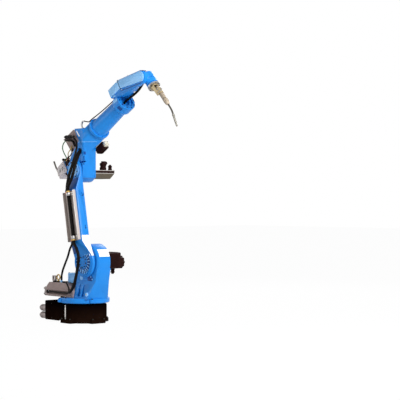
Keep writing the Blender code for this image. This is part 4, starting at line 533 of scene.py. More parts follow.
class Shape:
    """Plain meshes that the sub-assemblies are drawn with."""

    @staticmethod
    def close(bm: bmesh.types.BMesh, name: str) -> Mesh:
        """Merge a bmesh's doubles, turn its faces out and smooth it.

        Args:
            bm: the mesh under work, freed here.
            name: the new mesh's name.

        Returns:
            The mesh.
        """
        bmesh.ops.remove_doubles(bm, verts=bm.verts, dist=DRAWN_MERGE)
        bmesh.ops.recalc_face_normals(bm, faces=bm.faces)
        mesh = bpy.data.meshes.new(name)
        bm.to_mesh(mesh)
        bm.free()
        mesh.shade_smooth()
        mesh.set_sharp_from_angle(angle=math.radians(DRAWN_CREASE))
        return mesh

    @staticmethod
    def turned(name: str, profile: Profile, axis: Axis, steps: int, centre: Point = (0.0, 0.0, 0.0),
               ring: bool = False) -> Mesh:
        """Spin a profile round an axis.

        Args:
            name: the mesh's name.
            profile: pairs of radius and place along the axis.
            axis: the axis that it goes round.
            steps: how many facets go round.
            centre: a point on the axis.
            ring: whether the profile closes on itself, clear of the axis.

        Returns:
            The mesh.
        """
        bm = bmesh.new()
        points = [bm.verts.new(axis.place(radius, 0.0, along)) for radius, along in profile]
        ends = list(zip(points, points[1:])) + ([(points[-1], points[0])] if ring else [])
        edges = [bm.edges.new(pair) for pair in ends]
        bmesh.ops.spin(bm, geom=points + edges, cent=(0.0, 0.0, 0.0), axis=axis.place(0.0, 0.0, 1.0),
                       angle=math.tau, steps=steps, use_merge=True)
        bmesh.ops.translate(bm, verts=bm.verts, vec=Vector(centre))
        return Shape.close(bm, name)

    @staticmethod
    def ring(name: str, radii: tuple[float, float], span: tuple[float, float], axis: Axis, steps: int,
             centre: Point = (0.0, 0.0, 0.0)) -> Mesh:
        """Turn a flat-faced ring round an axis.

        Args:
            name: the mesh's name.
            radii: its inner and its outer radius.
            span: where it starts and ends along the axis.
            axis: the axis that it goes round.
            steps: how many facets go round.
            centre: a point on the axis.

        Returns:
            The mesh.
        """
        (inner, outer), (low, high) = radii, span
        profile = [(inner, low), (outer, low), (outer, high), (inner, high)]
        return Shape.turned(name, profile, axis, steps, centre, ring=True)

    @staticmethod
    def rod(name: str, radius: float, span: tuple[float, float], axis: Axis, steps: int,
            centre: Point = (0.0, 0.0, 0.0)) -> Mesh:
        """Turn a flat-ended rod round an axis.

        Args:
            name: the mesh's name.
            radius: its radius.
            span: where it starts and ends along the axis.
            axis: its axis.
            steps: how many facets go round.
            centre: a point on the axis.

        Returns:
            The mesh.
        """
        low, high = span
        return Shape.turned(name, [(0.0, low), (radius, low), (radius, high), (0.0, high)], axis, steps,
                            centre)

    @staticmethod
    def block(name: str, low: Point, high: Point, edge: float = 0.0) -> Mesh:
        """Draw a box between two corners, with bevelled edges.

        Args:
            name: the mesh's name.
            low: its lowest corner.
            high: its highest corner.
            edge: the bevel's width.

        Returns:
            The mesh.
        """
        bm = bmesh.new()
        bmesh.ops.create_cube(bm, size=1.0)
        size = Vector(high) - Vector(low)
        bmesh.ops.scale(bm, verts=bm.verts, vec=size)
        bmesh.ops.translate(bm, verts=bm.verts, vec=(Vector(low) + Vector(high)) / 2)
        if edge:
            bmesh.ops.bevel(bm, geom=list(bm.edges), offset=edge, segments=3, profile=0.5, affect="EDGES")
        return Shape.close(bm, name)

    @staticmethod
    def plate(name: str, outline: Profile, axis: Axis, low: float, high: float, edge: float = 0.0) -> Mesh:
        """Push an outline out along an axis.

        Args:
            name: the mesh's name.
            outline: the corners, as pairs across the axis.
            axis: the way that it is pushed.
            low: where it starts along the axis.
            high: where it ends.
            edge: the bevel's width.

        Returns:
            The mesh.
        """
        bm = bmesh.new()
        face = bm.faces.new([bm.verts.new(axis.place(first, second, low)) for first, second in outline])
        pushed = bmesh.ops.extrude_face_region(bm, geom=[face])
        moved = [item for item in pushed["geom"] if isinstance(item, bmesh.types.BMVert)]
        bmesh.ops.translate(bm, verts=moved, vec=Vector(axis.place(0.0, 0.0, high - low)))
        bmesh.ops.recalc_face_normals(bm, faces=bm.faces)
        if edge:
            sharp = [rim for rim in bm.edges if rim.calc_face_angle() > math.radians(40.0)]
            bmesh.ops.bevel(bm, geom=sharp, offset=edge, segments=2, profile=0.5, affect="EDGES")
        return Shape.close(bm, name)

    @staticmethod
    def together(name: str, meshes: list[Mesh]) -> Mesh:
        """Join meshes into one, for pieces that share a body and a finish.

        Args:
            name: the new mesh's name.
            meshes: the meshes to join, removed here.

        Returns:
            The joined mesh.
        """
        bm = bmesh.new()
        for mesh in meshes:
            bm.from_mesh(mesh)
            bpy.data.meshes.remove(mesh)
        joined = bpy.data.meshes.new(name)
        bm.to_mesh(joined)
        bm.free()
        joined.shade_smooth()
        joined.set_sharp_from_angle(angle=math.radians(DRAWN_CREASE))
        return joined


class Pattern:
    """Geometry Nodes trees for what repeats, and the meshes they grow."""

    @staticmethod
    def tree(name: str, inputs: dict[str, tuple[str, object]], takes_shape: bool = False) -> Tree:
        """Start a geometry tree with named inputs.

        Args:
            name: the tree's name.
            inputs: for each named input, its socket type and its default.
            takes_shape: whether the tree works on the object's own geometry.

        Returns:
            The tree, with its group input and output nodes made.
        """
        made = bpy.data.node_groups.new(name, "GeometryNodeTree")
        if takes_shape:
            made.interface.new_socket("Geometry", in_out="INPUT", socket_type="NodeSocketGeometry")
        for label, (kind, value) in inputs.items():
            socket = made.interface.new_socket(label, in_out="INPUT", socket_type=kind)
            if value is not None:
                socket.default_value = value
        made.interface.new_socket("Geometry", in_out="OUTPUT", socket_type="NodeSocketGeometry")
        made.nodes.new("NodeGroupInput")
        made.nodes.new("NodeGroupOutput")
        return made

    @staticmethod
    def end(tree: Tree, shape: Socket) -> None:
        """Close a tree: realize its instances and give them the material input.

        Args:
            tree: the geometry tree.
            shape: the socket that carries the finished geometry.
        """
        start = tree.nodes["Group Input"]
        real = add_node(tree, "GeometryNodeRealizeInstances", None, {0: shape})
        paint = add_node(tree, "GeometryNodeSetMaterial", None,
                         {0: real.outputs[0], 2: start.outputs["Material"]})
        tree.links.new(paint.outputs[0], tree.nodes["Group Output"].inputs[0])

    @staticmethod
    def grow(name: str, tree: Tree, values: dict[str, object], finish: Finish,
             source: bpy.types.ID | None = None) -> Mesh:
        """Evaluate a tree once and return its result as a plain mesh.

        Args:
            name: the mesh's name.
            tree: the geometry tree.
            values: the inputs that differ from their defaults.
            finish: the surface that Set Material gives.
            source: the mesh or curve that the tree works on.

        Returns:
            The mesh.
        """
        seed = bpy.data.objects.new(name, source or bpy.data.meshes.new(name + "_seed"))
        bpy.context.scene.collection.objects.link(seed)
        grower = seed.modifiers.new("grow", "NODES")
        grower.node_group = tree
        wanted = dict(values, Material=finish.material())
        for item in tree.interface.items_tree:
            if item.in_out == "INPUT" and item.name in wanted:
                grower[item.identifier] = wanted[item.name]
        seed.update_tag()
        bpy.context.view_layer.update()
        grown = bpy.data.meshes.new_from_object(seed.evaluated_get(bpy.context.evaluated_depsgraph_get()))
        seed.modifiers.clear()
        bpy.data.objects.remove(seed, do_unlink=True)
        grown.name = name
        grown.shade_smooth()
        grown.set_sharp_from_angle(angle=math.radians(DRAWN_CREASE))
        return grown


class Fasteners:
    """Screws, ribs, grip teeth and hoses, each grown by a geometry tree.

    The shares give a screw's socket as shares of its head, and a plug's grip as shares of
    the plug.
    """

    ROUND_STEPS = 16
    SOCKET_WIDTH_SHARE = 0.56
    SOCKET_DEPTH_SHARE = 0.55
    GRIP_TEETH = 20
    GRIP_PLACE_SHARE = 0.64
    GRIP_RADIUS_SHARE = 0.94
    GRIP_TOOTH_SHARES = (0.10, 0.15, 0.26)

    def __init__(self) -> None:
        """Build each tree once."""
        self.arc_tree = self.build_arc()
        self.spot_tree = self.build_spots()
        self.rib_tree = self.build_ribs()
        self.tooth_tree = self.build_teeth()
        self.hose_tree = self.build_hose()

    @staticmethod
    def head(tree: Tree) -> Socket:
        """Add the nodes that shape one socket head standing on its seat, and return its geometry."""
        start = tree.nodes["Group Input"].outputs
        body = add_node(tree, "GeometryNodeMeshCylinder", None, {
            "Vertices": Fasteners.ROUND_STEPS, "Radius": start["Head Radius"], "Depth": start["Head Height"]})
        lean = add_node(tree, "GeometryNodeInputNormal")
        upright = add_node(tree, "ShaderNodeSeparateXYZ", None, {0: lean.outputs[0]})
        top = add_node(tree, "FunctionNodeCompare", {"operation": "GREATER_THAN"},
                       {0: upright.outputs["Z"], 1: 0.9})
        rim = add_node(tree, "GeometryNodeExtrudeMesh", None,
                       {"Mesh": body.outputs[0], "Selection": top.outputs[0], "Offset Scale": 0.0})
        small = add_node(tree, "GeometryNodeScaleElements", None,
                         {0: rim.outputs["Mesh"], 1: rim.outputs["Top"], 2: Fasteners.SOCKET_WIDTH_SHARE})
        deep = add_node(tree, "ShaderNodeMath", {"operation": "MULTIPLY"},
                        {0: start["Head Height"], 1: -Fasteners.SOCKET_DEPTH_SHARE})
        socket = add_node(tree, "GeometryNodeExtrudeMesh", None, {
            "Mesh": small.outputs[0], "Selection": rim.outputs["Top"], "Offset Scale": deep.outputs[0]})
        half = add_node(tree, "ShaderNodeMath", {"operation": "MULTIPLY"}, {0: start["Head Height"], 1: 0.5})
        rise = add_node(tree, "ShaderNodeCombineXYZ", None, {"Z": half.outputs[0]})
        return add_node(tree, "GeometryNodeTransform", None,
                        {"Geometry": socket.outputs["Mesh"], "Translation": rise.outputs[0]}).outputs[0]

    @staticmethod
    def build_arc() -> Tree:
        """Build the tree that sets socket-head screws on an arc."""
        tree = Pattern.tree("socket_screws_on_arc", {
            "Material": ("NodeSocketMaterial", None), "Count": ("NodeSocketInt", 8),
            "Ring Radius": ("NodeSocketFloat", 0.08), "Start": ("NodeSocketFloat", 0.0),
            "Sweep": ("NodeSocketFloat", math.tau), "Head Radius": ("NodeSocketFloat", 0.006),
            "Head Height": ("NodeSocketFloat", 0.006)})
        start = tree.nodes["Group Input"].outputs
        arc = add_node(tree, "GeometryNodeCurveArc", {"mode": "RADIUS"}, {
            "Resolution": start["Count"], "Radius": start["Ring Radius"],
            "Start Angle": start["Start"], "Sweep Angle": start["Sweep"]})
        spots = add_node(tree, "GeometryNodeCurveToPoints", {"mode": "EVALUATED"}, {0: arc.outputs["Curve"]})
        placed = add_node(tree, "GeometryNodeInstanceOnPoints", None,
                          {"Points": spots.outputs[0], "Instance": Fasteners.head(tree)})
        Pattern.end(tree, placed.outputs[0])
        return tree

    @staticmethod
    def build_spots() -> Tree:
        """Build the tree that sets socket-head screws on given points, all facing one way."""
        tree = Pattern.tree("socket_screws_on_points", {
            "Material": ("NodeSocketMaterial", None), "Facing": ("NodeSocketVector", (0.0, 0.0, 1.0)),
            "Head Radius": ("NodeSocketFloat", 0.006), "Head Height": ("NodeSocketFloat", 0.006)},
            takes_shape=True)
        start = tree.nodes["Group Input"].outputs
        turn = add_node(tree, "FunctionNodeAlignRotationToVector", {"axis": "Z"}, {"Vector": start["Facing"]})
        placed = add_node(tree, "GeometryNodeInstanceOnPoints", None, {
            "Points": start["Geometry"], "Instance": Fasteners.head(tree), "Rotation": turn.outputs[0]})
        Pattern.end(tree, placed.outputs[0])
        return tree

    @staticmethod
    def build_ribs() -> Tree:
        """Build the tree that repeats one flat rib along a line."""
        tree = Pattern.tree("ribs_in_a_row", {
            "Material": ("NodeSocketMaterial", None), "Count": ("NodeSocketInt", 6),
            "Step": ("NodeSocketVector", (0.01, 0.0, 0.0)),
            "Size": ("NodeSocketVector", (0.002, 0.05, 0.01))})
        start = tree.nodes["Group Input"].outputs
        line = add_node(tree, "GeometryNodeMeshLine", {"mode": "OFFSET"},
                        {"Count": start["Count"], "Offset": start["Step"]})
        rib = add_node(tree, "GeometryNodeMeshCube", None, {"Size": start["Size"]})
        placed = add_node(tree, "GeometryNodeInstanceOnPoints", None,
                          {"Points": line.outputs[0], "Instance": rib.outputs[0]})
        Pattern.end(tree, placed.outputs[0])
        return tree

    @staticmethod
    def build_teeth() -> Tree:
        """Build the tree that stands flat teeth round a ring, each facing out."""
        tree = Pattern.tree("teeth_on_ring", {
            "Material": ("NodeSocketMaterial", None), "Count": ("NodeSocketInt", 20),
            "Radius": ("NodeSocketFloat", 0.02), "Size": ("NodeSocketVector", (0.002, 0.002, 0.01))})
        start = tree.nodes["Group Input"].outputs
        spots = add_node(tree, "GeometryNodePoints", None, {"Count": start["Count"]})
        share = add_node(tree, "ShaderNodeMath", {"operation": "DIVIDE"}, {0: math.tau, 1: start["Count"]})
        index = add_node(tree, "GeometryNodeInputIndex")
        turn = add_node(tree, "ShaderNodeMath", {"operation": "MULTIPLY"},
                        {0: share.outputs[0], 1: index.outputs[0]})
        about = add_node(tree, "ShaderNodeCombineXYZ", None, {"Z": turn.outputs[0]})
        reach = add_node(tree, "ShaderNodeCombineXYZ", None, {"X": start["Radius"]})
        tooth = add_node(tree, "GeometryNodeMeshCube", None, {"Size": start["Size"]})
        out = add_node(tree, "GeometryNodeTransform", None,
                       {"Geometry": tooth.outputs[0], "Translation": reach.outputs[0]})
        placed = add_node(tree, "GeometryNodeInstanceOnPoints", None, {
            "Points": spots.outputs[0], "Instance": out.outputs[0], "Rotation": about.outputs[0]})
        Pattern.end(tree, placed.outputs[0])
        return tree

    @staticmethod
    def build_hose() -> Tree:
        """Build the tree that sweeps a round hose along a curve, with rings of corrugation."""
        tree = Pattern.tree("hose_along_route", {
            "Material": ("NodeSocketMaterial", None), "Radius": ("NodeSocketFloat", 0.01),
            "Pitch": ("NodeSocketFloat", 0.006), "Swell": ("NodeSocketFloat", 0.0)}, takes_shape=True)
        start = tree.nodes["Group Input"].outputs
        even = add_node(tree, "GeometryNodeResampleCurve", {"mode": "LENGTH"},
                        {"Curve": start["Geometry"], "Length": start["Pitch"]})
        index = add_node(tree, "GeometryNodeInputIndex")
        phase = add_node(tree, "ShaderNodeMath", {"operation": "MODULO"}, {0: index.outputs[0], 1: 4.0})
        crest = add_node(tree, "ShaderNodeMath", {"operation": "LESS_THAN"}, {0: phase.outputs[0], 1: 1.5})
        swell = add_node(tree, "ShaderNodeMath", {"operation": "MULTIPLY"},
                         {0: crest.outputs[0], 1: start["Swell"]})
        scale = add_node(tree, "ShaderNodeMath", {"operation": "SUBTRACT"}, {0: 1.0, 1: swell.outputs[0]})
        sized = add_node(tree, "GeometryNodeSetCurveRadius", None,
                         {0: even.outputs[0], "Radius": scale.outputs[0]})
        round_profile = add_node(tree, "GeometryNodeCurvePrimitiveCircle", {"mode": "RADIUS"},
                                 {"Resolution": Fasteners.ROUND_STEPS, "Radius": start["Radius"]})
        swept = add_node(tree, "GeometryNodeCurveToMesh", None, {
            "Curve": sized.outputs[0], "Profile Curve": round_profile.outputs[0], "Fill Caps": True,
            "Scale": scale.outputs[0]})
        Pattern.end(tree, swept.outputs[0])
        return tree

    def arc(self, place: Matrix, count: int, radius: float, screw: Screw, start: float = 0.0,
            sweep: float = 360.0) -> Mesh:
        """Grow screws on an arc and place them.

        Args:
            place: the matrix that puts the arc's centre and +Z where the heads point.
            count: how many screws.
            radius: the arc's radius.
            screw: the kind of screw.
            start: the first screw's angle, in degrees.
            sweep: the arc's angle, in degrees.

        Returns:
            The mesh, placed.
        """
        full = sweep * (1.0 - 1.0 / count) if sweep >= 360.0 else sweep
        mesh = Pattern.grow("arc_screws", self.arc_tree, {
            "Count": count, "Ring Radius": radius, "Head Radius": screw.radius, "Head Height": screw.height,
            "Start": math.radians(start), "Sweep": math.radians(full)}, screw.finish)
        mesh.transform(place)
        return mesh

    def spots(self, places: list[Point], normal: Point, screw: Screw) -> Mesh:
        """Grow screws on given points.

        Args:
            places: the heads' seats.
            normal: the way they face.
            screw: the kind of screw.

        Returns:
            The mesh.
        """
        seats = bpy.data.meshes.new("seats")
        seats.from_pydata(places, [], [])
        mesh = Pattern.grow("spot_screws", self.spot_tree, {
            "Facing": normal, "Head Radius": screw.radius, "Head Height": screw.height}, screw.finish, seats)
        bpy.data.meshes.remove(seats)
        return mesh

    def ribs(self, first: Point, count: int, step: Point, size: Point, finish: Finish) -> Mesh:
        """Grow a row of flat ribs and place its first one.

        Args:
            first: the first rib's middle.
            count: how many ribs.
            step: the way from one rib to the next.
            size: one rib's size.
            finish: their surface.

        Returns:
            The mesh, placed.
        """
        mesh = Pattern.grow("ribs", self.rib_tree, {"Count": count, "Step": step, "Size": size}, finish)
        mesh.transform(Matrix.Translation(first))
        return mesh

    def teeth(self, place: Matrix, count: int, radius: float, size: Point, finish: Finish) -> Mesh:
        """Grow teeth round a ring and place them.

        Args:
            place: the matrix of the ring's middle, with its axis along +Z.
            count: how many teeth.
            radius: how far their middles stand from the axis.
            size: one tooth's size: outward, around and along the axis.
            finish: their surface.

        Returns:
            The mesh, placed.
        """
        mesh = Pattern.grow("teeth", self.tooth_tree,
                            {"Count": count, "Radius": radius, "Size": size}, finish)
        mesh.transform(place)
        return mesh

    def knurl(self, spot: Point, way: Point, radius: float, length: float, finish: Finish) -> Mesh:
        """Grow the grip teeth round a plug's nut.

        Args:
            spot: the middle of the plug's foot.
            way: the way the plug points.
            radius: the plug's radius.
            length: the plug's length.
            finish: the teeth's surface.

        Returns:
            The mesh.
        """
        place = facing(spot, way) @ Matrix.Translation((0.0, 0.0, length * self.GRIP_PLACE_SHARE))
        out, around, along = self.GRIP_TOOTH_SHARES
        return self.teeth(place, self.GRIP_TEETH, radius * self.GRIP_RADIUS_SHARE,
                          (radius * out, radius * around, length * along), finish)

    def hose(self, route: list[Vector], radius: float, finish: Finish, pitch: float,
             swell: float = 0.0) -> Mesh:
        """Grow a round or corrugated hose along a smooth route.

        Args:
            route: points of the smooth route.
            radius: the hose's outer radius.
            finish: its surface.
            pitch: the step between its rings of faces.
            swell: how far every other pair of rings draws in, as a share of the radius.

        Returns:
            The mesh.
        """
        curve = bpy.data.curves.new("route", "CURVE")
        curve.dimensions = "3D"
        spline = curve.splines.new("POLY")
        spline.points.add(len(route) - 1)
        for spot, place in zip(spline.points, route):
            spot.co = (*place, 1.0)
        mesh = Pattern.grow("hose", self.hose_tree,
                            {"Radius": radius, "Pitch": pitch, "Swell": swell}, finish, curve)
        bpy.data.curves.remove(curve)
        return mesh


def smooth_route(points: list[Point] | list[Vector], steps: int = 10) -> list[Vector]:
    """Return points on a smooth curve through the given points.

    Args:
        points: the route's points.
        steps: how many points each stretch gets.

    Returns:
        The points of the smooth curve.
    """
    spots = [Vector(point) for point in points]
    spots = [spots[0] * 2 - spots[1]] + spots + [spots[-1] * 2 - spots[-2]]
    result = []
    for before, start, end, after in zip(spots, spots[1:], spots[2:], spots[3:]):
        for step in range(steps):
            share = step / steps
            result.append((start * 2 + (end - before) * share
                           + (before * 2 - start * 5 + end * 4 - after) * share ** 2
                           + (start * 3 - before - end * 3 + after) * share ** 3) / 2)
    return result + [spots[-2]]


def facing(place: Point, normal: Point) -> Matrix:
    """Return the matrix that puts a pattern's +Z along a face's normal.

    Args:
        place: the pattern's centre.
        normal: the way the face looks.

    Returns:
        The matrix.
    """
    turn = Vector(normal).normalized().to_track_quat("Z", "X").to_matrix().to_4x4()
    return Matrix.Translation(place) @ turn


@dataclass
class Assembly:
    rig: Rig
    kit: Fasteners

    def build(self) -> None:
        """Build the sub-assembly's pieces."""
        raise NotImplementedError

    def screws(self, name: str, body: str, screw: Screw, rows: list[tuple[list[Point], Point]],
               link: str = "floor") -> None:
        """Dress a body with rows of one kind of screw.

        Args:
            name: the piece's name.
            body: the CAD body that carries it.
            screw: the kind of screw.
            rows: for each row, the heads' seats and the way that they face.
            link: the link frame of the seats.
        """
        meshes = [self.kit.spots(seats, way, screw) for seats, way in rows]
        self.rig.add(name, body, screw.finish, meshes, link)

    def tube(self, name: str, body: str, finish: Finish, route: list[Point], radius: float, pitch: float,
             swell: float = 0.0, link: str = "floor", replaces: tuple[str, ...] = ()) -> None:
        """Dress a body with one round or corrugated hose.

        Args:
            name: the piece's name.
            body: the CAD body that carries it.
            finish: its surface.
            route: the points that it runs through.
            radius: its outer radius.
            pitch: the step between its rings of faces.
            swell: the depth of its corrugation, as a share of the radius.
            link: the link frame of the route.
            replaces: CAD nodes that it stands for.
        """
        mesh = self.kit.hose(smooth_route(route), radius, finish, pitch, swell)
        self.rig.add(name, body, finish, [mesh], link, replaces)


@dataclass
class Base(Assembly):
    """The bolted base, its connection box and its plugs."""

    foot_radius: float = 0.1885
    foot_side: float = 0.056
    foot_top: float = 0.031
    box_back: float = -0.318
    box_side: float = 0.1802
    back_sheet: float = 0.003
    strip_span: tuple[float, float] = (-0.0199, -0.0081)
    strip_rise: tuple[float, float] = (0.0315, 0.1468)
    strip_face: float = 0.188
    strip_sheet: float = 0.0046
    plug_side: float = -0.148
    plug_radius: float = 0.0288
    plug_length: float = 0.100

    def build(self) -> None:
        """Build the base's pieces."""
        self.rig.skin("base_casting", EPOXY_BLACK, 0.0012)
        self.rig.skin("base_connection_box", EPOXY_BLACK)
        self.strip("left", 1.0)
        self.strip("right", -1.0)
        self.plugs()
        seats = [Matrix.Rotation(quarter * math.pi / 2, 4, "Z")
                 @ Vector((self.foot_radius, side, self.foot_top))
                 for quarter in range(4) for side in (-self.foot_side, self.foot_side)]
        self.screws("base_foot_bolts", "base", FOOT_BOLT, [(seats, UP)])
        self.box()

    def strip(self, side: str, way: float) -> None:
        """Build the bright strip on one side of the base, and its screws.

        Args:
            side: the side's name.
            way: 1 on the left, -1 on the right.
        """
        face = self.strip_face * way
        back = face - self.strip_sheet * way
        (rear, front), (low, high) = self.strip_span, self.strip_rise
        plate = Shape.block("strip", (rear, min(face, back), low), (front, max(face, back), high), 0.0010)
        self.rig.add(f"{side}_strip_plate", "base", ALUMINIUM, [plate], replaces=(f"{side}_base_strip",))
        seats = [((rear + front) / 2, face, height) for height in (0.044, 0.134)]
        self.screws(f"{side}_strip_screws", "base", BOX_SCREW, [(seats, (0.0, way, 0.0))])

    def plugs(self) -> None:
        """Finish the box's two plugs and add the grips of their nuts."""
        grips = []
        for node, height in (("base_power_plug", 0.044), ("base_signal_plug", 0.1048)):
            self.rig.skin(node, DIE_CAST)
            foot = (self.box_back, self.plug_side, height)
            grips.append(self.kit.knurl(foot, REAR, self.plug_radius, self.plug_length, DIE_CAST))
        self.rig.add("base_plug_grips", "base", DIE_CAST, grips)

    def box(self) -> None:
        """Close the box's back with a screwed plate, and screw its sides."""
        face = self.box_back - self.back_sheet
        self.rig.add("base_back_plate", "base", EPOXY_BLACK, [
            Shape.block("back", (face, -0.108, 0.022), (self.box_back + SUNK, 0.168, 0.160), 0.0012)])
        rim = [(face, y, z) for z in (0.030, 0.152) for y in (-0.100, -0.010, 0.075, 0.160)]
        self.screws("base_plate_screws", "base", PLATE_SCREW, [(rim, REAR)])
        right = [(x, -self.box_side, z) for x in (-0.295, -0.215) for z in (0.030, 0.152)]
        left = [(x, -y, z) for x, y, z in right]
        self.screws("base_box_screws", "base", BOX_SCREW, [(right, RIGHT), (left, LEFT)])


@dataclass
class Swivel(Assembly):
    """The turning casting with its motor, its boss and its blank label."""

    hub: Point = (0.150, 0.0, 0.505)
    side_face: float = -0.0868
    flange_top: float = 0.2055
    bolt_circle: float = 0.193
    lug_circle: float = 0.217
    lug_top: float = 0.1995
    boss_way: Point = (0.0, -0.97, 0.23)
    motor_seat: Point = (0.150, 0.0743, 0.499)
    motor_screw_reach: float = 0.071
    motor_top: float = 0.577
    motor_half: float = 0.066
    rib_count: int = 11
    rib_step: float = 0.0096
    rib_width: float = 0.0030
    rib_depth: float = 0.006
    rib_length: float = 0.118

    def build(self) -> None:
        """Build the swivel's pieces."""
        rig = self.rig
        rig.skin("swivel_casting", ENAMEL_BLUE, 0.0015)
        rig.skin("shoulder_motor", MOTOR_PAINT, 0.0012)
        rig.skin("shoulder_motor_cap", MOTOR_PAINT, 0.0010)
        rig.film("swivel_casting", "housing_label", WHITE_VINYL, (0.86, 0.0, 0.52), self.label_edges(),
                 match=0.8)
        rig.add("swivel_flange_screws", "swivel", BLACK_OXIDE, self.flange_screws())
        self.boss()
        self.motor_ribs()
        self.side_ports()
        self.motor_screws()

    def label_edges(self) -> list[Plane]:
        """Return the planes that trim the label on the shoulder housing's round front."""
        low, high = math.radians(18.0), math.radians(45.0)
        return [(self.hub, (math.sin(low), 0.0, -math.cos(low))),
                (self.hub, (-math.sin(high), 0.0, math.cos(high)))] + Axis.Y.between(-0.064, 0.044)

    def flange_screws(self) -> list[Mesh]:
        """Return the screws on the flange's two free sides and on its lugs."""
        place = facing((0.0, 0.0, self.flange_top), UP)
        arcs = [self.kit.arc(place, 4, self.bolt_circle, FLANGE_BOLT, start, 42.0) for start in (48.0, 270.0)]
        turns = [math.radians(turn) for turn in (200.0, 250.0, 340.0)]
        lugs = [(self.lug_circle * math.cos(turn), self.lug_circle * math.sin(turn), self.lug_top)
                for turn in turns]
        return arcs + [self.kit.spots(lugs, UP, CAP_SCREW)]

    def boss(self) -> None:
        """Build the round plug low on the casting's side, and its screw."""
        plug = Shape.turned("boss", [(0.0, -0.002), (0.0165, -0.002), (0.0165, 0.004), (0.0150, 0.0055),
                                     (0.0095, 0.0055), (0.0090, 0.0070), (0.0, 0.0070)], Axis.Z, 32)
        plug.transform(facing((0.183, -0.113, 0.241), self.boss_way))
        self.rig.add("swivel_boss", "swivel", PALE_ENAMEL_AND_PAINTED_HIGHLIGHT, [plug])
        self.screws("swivel_boss_screw", "swivel", PLUG_SCREW, [([(0.183, -0.1195, 0.2425)], self.boss_way)])

    def motor_screws(self) -> None:
        """Screw the shoulder motor's flange down."""
        x, seat, z = self.motor_seat
        reach = self.motor_screw_reach
        seats = [(x + side * reach, seat, z + rise * reach) for side in (-1, 1) for rise in (-1, 1)]
        self.screws("shoulder_motor_screws", "swivel", CAP_SCREW, [(seats, LEFT)])

    def motor_ribs(self) -> None:
        """Stand the cooling ribs along the shoulder motor."""
        x, seat, _ = self.motor_seat
        middle = seat + self.rib_depth + self.rib_length / 2
        top = self.kit.ribs((x - 0.048, middle, self.motor_top), self.rib_count, (self.rib_step, 0.0, 0.0),
                            (self.rib_width, self.rib_length, self.rib_depth), MOTOR_PAINT)
        sides = [self.kit.ribs((x + side, middle, 0.463), self.rib_count, (0.0, 0.0, self.rib_step),
                               (self.rib_depth, self.rib_length, self.rib_width), MOTOR_PAINT)
                 for side in (-self.motor_half, self.motor_half)]
        self.rig.add("shoulder_motor_ribs", "swivel", MOTOR_PAINT, [top] + sides)

    def side_ports(self) -> None:
        """Build the grease port's cover and the clamp plate on the casting's right side."""
        face = self.side_face
        plate_face = face - 0.0014
        cover = Shape.turned("port", [(0.0, face + SUNK), (0.0210, face + SUNK), (0.0210, face - 0.0030),
                                      (0.0185, face - 0.0050), (0.0080, face - 0.0050),
                                      (0.0075, face - 0.0030),
                                      (0.0, face - 0.0030)], Axis.Y, 32, (0.079, 0.0, 0.373))
        seats = [(0.176, plate_face, 0.389), (0.205, plate_face, 0.386), (0.224, plate_face, 0.366)]
        tabs = self.kit.spots(seats, RIGHT, PORT_TAB)
        self.rig.add("swivel_port_cover", "swivel", PALE_ENAMEL_AND_PAINTED_HIGHLIGHT, [cover, tabs])
        outline = [(0.160, 0.352), (0.214, 0.350), (0.233, 0.362), (0.231, 0.380), (0.216, 0.395),
                   (0.166, 0.397),
                   (0.157, 0.376)]
        self.rig.add("swivel_clamp_plate", "swivel", DEEP_BLUE_AND_PAINTED_SHADE, [
            Shape.plate("plate", outline, Axis.Y, plate_face, face + SUNK, 0.0004)])


@dataclass
class RearDeck(Assembly):
    """The cover behind the swivel and what stands on it."""

    right_side: float = -0.132
    left_side: float = 0.100
    back: float = -0.360
    top: float = 0.322
    plug_side: float = -0.100
    plug_radius: float = 0.016
    plug_length: float = 0.076

    def build(self) -> None:
        """Build the deck's pieces."""
        rig, kit = self.rig, self.kit
        rig.skin("swivel_rear_cover", HAMMER_GREY, 0.0015)
        rig.skin("swivel_motor", PALE_ENAMEL_AND_PAINTED_HIGHLIGHT)
        rig.skin("deck_strip", JACKET_BLACK, 0.001)
        rig.skin("square_frame", DIE_CAST, 0.001)
        rig.skin("lifting_eye", BRASS)
        rig.skin("cable_gland", PALE_ENAMEL_AND_PAINTED_HIGHLIGHT)
        for node in ("rear_cable_gland", "swivel_lower_plug", "swivel_upper_plug"):
            rig.skin(node, DIE_CAST)
        rig.add("deck_plug_grips", "swivel", DIE_CAST, [
            kit.knurl((self.back, self.plug_side, height), REAR, self.plug_radius, self.plug_length, DIE_CAST)
            for height in (0.2185, 0.2635)])
        right = [(-0.335 + 0.062 * step, self.right_side, 0.2135) for step in range(6)]
        left = [(x, self.left_side, z) for x, _, z in right]
        top = [(x, 0.045, self.top) for x in (-0.30, -0.17)]
        self.screws("deck_side_screws", "swivel", DECK_SCREW, [(right, RIGHT), (left, LEFT), (top, UP)])
        rig.add("deck_seam", "swivel", NYLON_BLACK, [
            Shape.block("seam", (-0.356, self.right_side - 0.0010, 0.2240),
                        (-0.004, self.right_side + SUNK, 0.2256))])
        motor = [(x, y, 0.4060) for x in (-0.118, -0.032) for y in (-0.073, 0.013)]
        self.screws("swivel_motor_screws", "swivel", DRIVE_SCREW, [(motor, UP)])
        rig.add("swivel_motor_ribs", "swivel", PALE_ENAMEL_AND_PAINTED_HIGHLIGHT, [
            kit.ribs((-0.075, -0.082, 0.340), 5, (0.0, 0.0, 0.013), (0.092, 0.005, 0.003), PALE_ENAMEL_AND_PAINTED_HIGHLIGHT)])
        rig.add("gland_nut", "swivel", BRASS, [
            Shape.turned("nut", [(0.0132, 0.3223), (0.0132, 0.3285), (0.0105, 0.3300), (0.0105, 0.3223)],
                         Axis.Z, 6,
                         (-0.163, -0.118, 0.0), ring=True)])
        self.tube("deck_lead", "swivel", JACKET_BLACK, [
            (-0.180, -0.099, 0.330), (-0.120, -0.112, 0.329), (-0.090, -0.122, 0.324),
            (-0.062, -0.130, 0.308),
            (-0.034, -0.137, 0.280), (-0.024, -0.146, 0.258)], 0.0060, 0.008)


